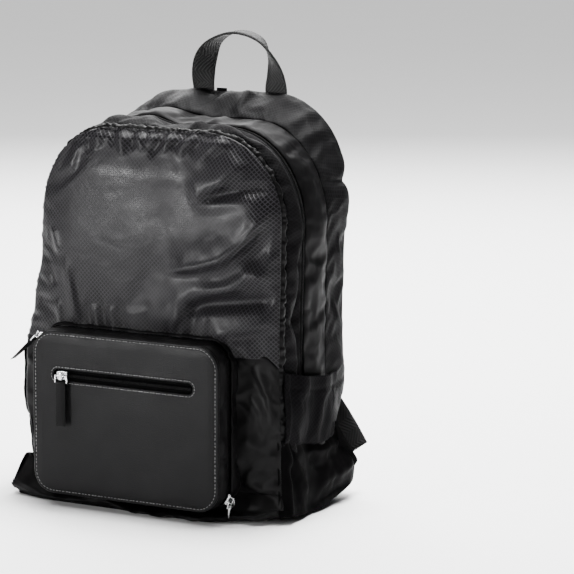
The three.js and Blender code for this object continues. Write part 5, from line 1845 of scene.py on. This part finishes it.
@dataclass
class ShoulderStraps(Maker):
    """The padded straps, their adjusters and webbing, and the corner wings that hold them."""

    width: float = 56.0
    pad: float = 7.0
    spread: float = 48.0
    drift: float = 38.0
    top: float = 394.0
    bottom: float = 150.0
    stand_off: float = 24.0
    gap: float = 0.3
    adjuster_width: float = 34.0
    adjuster_height: float = 14.0
    adjuster_wall: float = 5.0
    webbing_width: float = 25.0
    webbing_wall: float = 1.6
    webbing_lead: float = 12.0
    webbing_sag: float = 5.0
    webbing_end: float = 49.0
    rows: tuple[StrapRow, ...] = table(
        StrapRow,
        (0, 0, 0, 0.86, 0.5), (0.07, 0.02, 0.02, 0.92, 0.8), (0.2, 0.4, 0.1, 1, 1), (0.4, 0.9, 0.3, 1, 1),
        (0.6, 1, 0.55, 0.94, 1), (0.8, 0.85, 0.8, 0.8, 0.95), (1, 0.55, 1, 0.6, 0.7),
    )
    pads: list[Thing] = field(default_factory=list)
    wings: list[Thing] = field(default_factory=list)

    def stations(self, side: int) -> list[Station]:
        """The strap's stations from the top down."""
        made = []
        for row in self.rows:
            x = side * (self.spread + self.drift * row.drift)
            z = self.top + (self.bottom - self.top) * row.at
            wall = self.pad * row.pad
            y = self.form.back_y(x, z) + 2 * self.gap + wall / 2 + self.stand_off * row.out
            made.append(Station(Vector((x, y, z)), Vector((side, 0, 0)), self.width * row.width, wall))
        return made

    def swollen(self, made: Thing) -> None:
        """Pads a strap: an even mesh, then a run of cloth with pressure inside it."""
        even = made.modifiers.new("even", "REMESH")
        even.mode = "VOXEL"
        even.voxel_size = 0.0035
        depsgraph = bpy.context.evaluated_depsgraph_get()
        mesh = bpy.data.meshes.new_from_object(made.evaluated_get(depsgraph))
        made.modifiers.remove(even)
        old = made.data
        made.data = mesh
        bpy.data.meshes.remove(old)
        for face in mesh.polygons:
            face.use_smooth = True
        self.room.waiting.append(Settling(made, growth=0.0, pressure=4.0, cap=1.6, bend=0.5))

    def strap(self, name: str, side: int) -> list[Station]:
        """One padded strap with its bound edges.

        Args:
            name: left or right.
            side: -1 or 1.

        Returns:
            Its stations.
        """
        section = both_faces(((-1, 0), (-0.96, -0.55), (-0.86, -0.9), (-0.6, -1), (-0.3, -1), (0, -1),
                              (0.3, -1), (0.6, -1), (0.86, -0.9), (0.96, -0.55)))
        run = smooth_run(self.stations(side), 64)
        thin = [station._replace(width=station.width - 1.4, wall=station.wall * 0.82) for station in run]
        bm = self.bench.run(thin, section)
        node = f"shoulder_strap_{name}"
        made = self.bench.piece(f"{node}_pad", bm, "strap", "padding", node)
        self.swollen(made)
        self.pads.append(made)
        places = []
        for edge in (-0.5, 0.5):
            for i in range(2, len(run) - 2):
                for part in (0.0, 0.5):
                    a, b = run[i], run[i + 1]
                    at = a.at.lerp(b.at, part)
                    along = (b.at - a.at).normalized()
                    wide, thick = square_to(along, a.across)
                    for face in (-1, 1):
                        middle = at + wide * (edge * (a.width - 10)) + thick * (face * (a.wall / 2 + 0.25))
                        places.append((middle, along, thick * face))
        self.bench.bars(f"{node}_stitches", places, (1.1, 0.32, 0.3), "dark_thread", "padding")
        return run

    def adjuster(self, name: str, foot: Vector, way: Vector, side: int) -> None:
        """The ladder lock at a strap's foot.

        Args:
            name: left or right.
            foot: The strap's end.
            way: The way that it runs on.
            side: -1 or 1.
        """
        bm = bmesh.new()
        bmesh.ops.create_grid(bm, x_segments=5, y_segments=5, size=0.5)
        middles = ((face, face.calc_center_median()) for face in bm.faces)
        slots = [face for face, at in middles if abs(at.x) < 0.35 and abs(abs(at.y) - 0.2) < 0.05]
        bmesh.ops.delete(bm, geom=slots, context="FACES")
        columns = (-0.5, -0.41, -0.15, 0.15, 0.41, 0.5)
        rows = (-0.5, -0.34, -0.1, 0.1, 0.34, 0.5)
        for vert in bm.verts:
            x, y = (round((value + 0.5) * 5) for value in vert.co.xy)
            vert.co = Vector((columns[x] * self.adjuster_width, rows[y] * self.adjuster_height, 0))
        bmesh.ops.solidify(bm, geom=bm.faces[:], thickness=self.adjuster_wall * 0.7)
        bmesh.ops.translate(bm, verts=bm.verts, vec=(0, 0, self.adjuster_wall * 0.35))
        bmesh.ops.recalc_face_normals(bm, faces=bm.faces)
        sharp = [edge for edge in bm.edges if edge.calc_face_angle(0) > 1]
        bmesh.ops.bevel(bm, geom=sharp, offset=0.8, offset_type="OFFSET", segments=3, profile=0.5,
                        affect="EDGES", material=-1)
        across = Vector((side, 0, 0))
        at = foot + way * (self.gap + self.adjuster_height / 2)
        bmesh.ops.transform(bm, matrix=set_down(across, way, across.cross(way), at), verts=bm.verts)
        bmesh.ops.recalc_face_normals(bm, faces=bm.faces)
        self.bench.piece(f"strap_adjuster_{name}_lock", bm, "plastic", "buckle", f"strap_adjuster_{name}")

    def webbing(self, name: str, start: Vector, way: Vector, side: int) -> None:
        """The webbing from the adjuster to the wing.

        Args:
            name: left or right.
            start: Where it leaves the adjuster.
            way: The way that it leaves.
            side: -1 or 1.
        """
        form = self.form
        end = Vector((side * (form.width / 2 + 12), form.back + 3 * self.webbing_wall, self.webbing_end))
        lead = start + way * self.webbing_lead
        points = [start, lead]
        for share in (0.35, 0.7, 1.0):
            at = lead.lerp(end, share)
            at.y += self.webbing_sag * arc(share)
            points.append(at)
        across = Vector((side, 0, 0))
        run = smooth_run([Station(at, across, self.webbing_width, self.webbing_wall) for at in points], 40)
        section = webbing_section(0.4, 0.97)
        bm = self.bench.run(run, section)
        self.bench.piece(f"strap_webbing_{name}_tape", bm, "webbing", "webbing", f"strap_webbing_{name}")

    def wing(self, name: str, side: int) -> None:
        """The corner wing, drawn out to a blunt tip.

        Args:
            name: left or right.
            side: -1 or 1.
        """
        form = self.form
        tip = Vector((side * (form.width / 2 + 15), form.back, 38))
        reach, high, drop = 34, 86, 72

        def place(u: float, v: float) -> Vector:
            """Point of the wing."""
            y = form.back - reach * (1 - 0.7 * u)
            z = high - drop * u
            wall = max(form.wall_x(side, y, max(z, form.rim)), form.width / 2)
            x = side * (wall + (3.9 if side < 0 else 3.3))
            share = v * 0.9
            at = Vector((x, y, z)).lerp(tip, share)
            at.x += side * 3.75 * arc(share) * arc(u)
            at.x += side * 0.7 * wander(u * 4, v * 3, 91.0 + side) * arc(u)
            return at

        bm = self.bench.sheet(24, 20, (74, 50), place, turned=side < 0)
        node = f"corner_wing_{name}"
        # The wing takes the foot nylon, whose darker tone is painted shade near the floor.
        self.wings.append(self.bench.piece(f"{node}_cloth", bm, "foot", "smooth_nylon", node))

    def declare(self) -> None:
        """Gives the pads a subdivision, and the wings a subdivision and their thickness."""
        for made in self.pads:
            fine = made.modifiers.new("fine", "SUBSURF")
            fine.levels = fine.render_levels = 1
        for made in self.wings:
            self.bench.walled(made, 1.6)

    def build(self) -> None:
        """Makes both sides."""
        for name, side in (("left", -1), ("right", 1)):
            run = self.strap(name, side)
            foot = run[-1].at
            way = (foot - run[-2].at).normalized()
            self.adjuster(name, foot, way, side)
            self.webbing(name, foot + way * (2 * self.gap + self.adjuster_height), way, side)
            self.wing(name, side)


@dataclass
class Studio:
    """Floor, lights and camera."""

    eye: Point = (1.3036, -2.4347, 0.7062)
    azimuth: float = 28.0
    elevation: float = 10.0
    focal_pixels: float = 2674.0
    pixels: float = 574.0
    centre: Pair = (203.0, 290.0)

    def camera(self) -> None:
        """A camera at the photograph's angle."""
        lens = bpy.data.cameras.new("camera")
        lens.sensor_width = 36.0
        lens.lens = self.focal_pixels / self.pixels * 36.0
        lens.shift_x = (self.pixels / 2 - self.centre[0]) / self.pixels
        lens.shift_y = (self.centre[1] - self.pixels / 2) / self.pixels
        lens.clip_end = 50
        made = bpy.data.objects.new("camera", lens)
        made.location = self.eye
        made.rotation_euler = (math.radians(90 - self.elevation), 0, math.radians(self.azimuth))
        bpy.context.scene.collection.objects.link(made)
        bpy.context.scene.camera = made

    def floor(self) -> None:
        """A plain pale floor."""
        bm = bmesh.new()
        bmesh.ops.create_grid(bm, x_segments=1, y_segments=1, size=40.0)
        mesh = bpy.data.meshes.new("floor")
        bm.to_mesh(mesh)
        bm.free()
        made = bpy.data.objects.new("floor", mesh)
        made.location.z = -0.0002
        shader = Shader("floor")
        grain = shader.noise(shader.space(), 3, 2)
        tone = shader.blend(grain, colour(9500, 9500, 9500), colour(9700, 9700, 9700))
        mesh.materials.append(shader.finish(Base_Color=tone, Roughness=0.8, Specular_IOR_Level=0.0))
        bpy.context.scene.collection.objects.link(made)

    def lamp(self, name: str, kind: str, power: float, at: Point,
             aim: Optional[Point] = None, **settings: object) -> Thing:
        """One soft light.

        Args:
            name: Its name.
            kind: Its type.
            power: Its power in watts, or a sun's strength.
            at: Its place in metres.
            aim: Where it points, or None for straight down.
            **settings: Its own properties.

        Returns:
            The lamp.
        """
        lamp = bpy.data.lights.new(name, kind)
        lamp.energy = power
        for key, value in settings.items():
            setattr(lamp, key, value)
        made = bpy.data.objects.new(name, lamp)
        made.location = at
        if aim is not None:
            made.rotation_euler = (Vector(aim) - Vector(at)).to_track_quat("-Z", "Y").to_euler()
        bpy.context.scene.collection.objects.link(made)
        return made

    def build(self) -> None:
        """Sets up the studio."""
        self.camera()
        self.floor()
        world = bpy.data.worlds.new("studio")
        world.use_nodes = True
        world.node_tree.nodes["Background"].inputs[0].default_value = colour(10000, 10000, 10000)
        world.node_tree.nodes["Background"].inputs[1].default_value = 0.03
        bpy.context.scene.world = world
        soft = {"shape": "RECTANGLE"}
        middle = (0, 0, 0.35)
        self.lamp("overhead", "SUN", 2.7, (0, 0, 3), angle=math.radians(60))
        self.lamp("key", "AREA", 41, (-1.45, -2.4, 0.6), (0, 0, 0.25), size=0.45, size_y=0.8, **soft)
        narrow = self.lamp("middle", "SPOT", 1150, (-1.35, -2.45, 0.5), (0.02, -0.1, 0.33),
                           spot_size=math.radians(8), spot_blend=1.0, shadow_soft_size=0.2)
        narrow.scale = (0.76, 1.2, 1)
        self.lamp("rim", "AREA", 175, (-0.9, 1.7, 1.8), middle, size=2.4, size_y=1.8, **soft)
        self.lamp("top", "AREA", 215, (0.2, 0.3, 2.5), middle, size=0.8, size_y=0.8, **soft)


def main() -> None:
    """Builds the dressed backpack and its studio."""
    logging.basicConfig(level=logging.INFO, format="%(message)s")
    form = BagForm()
    bench = Bench(Wardrobe())
    room = ClothRoom(bench)
    Studio().build()
    for maker in (BodyCloth, LeatherPouch, ZipPulls, CarryHandle, SidePockets):
        maker(form, bench, room).build()
    straps = ShoulderStraps(form, bench, room)
    straps.build()
    room.settle()
    room.declare()
    straps.declare()
    bpy.context.view_layer.update()


if __name__ == "__main__":
    main()
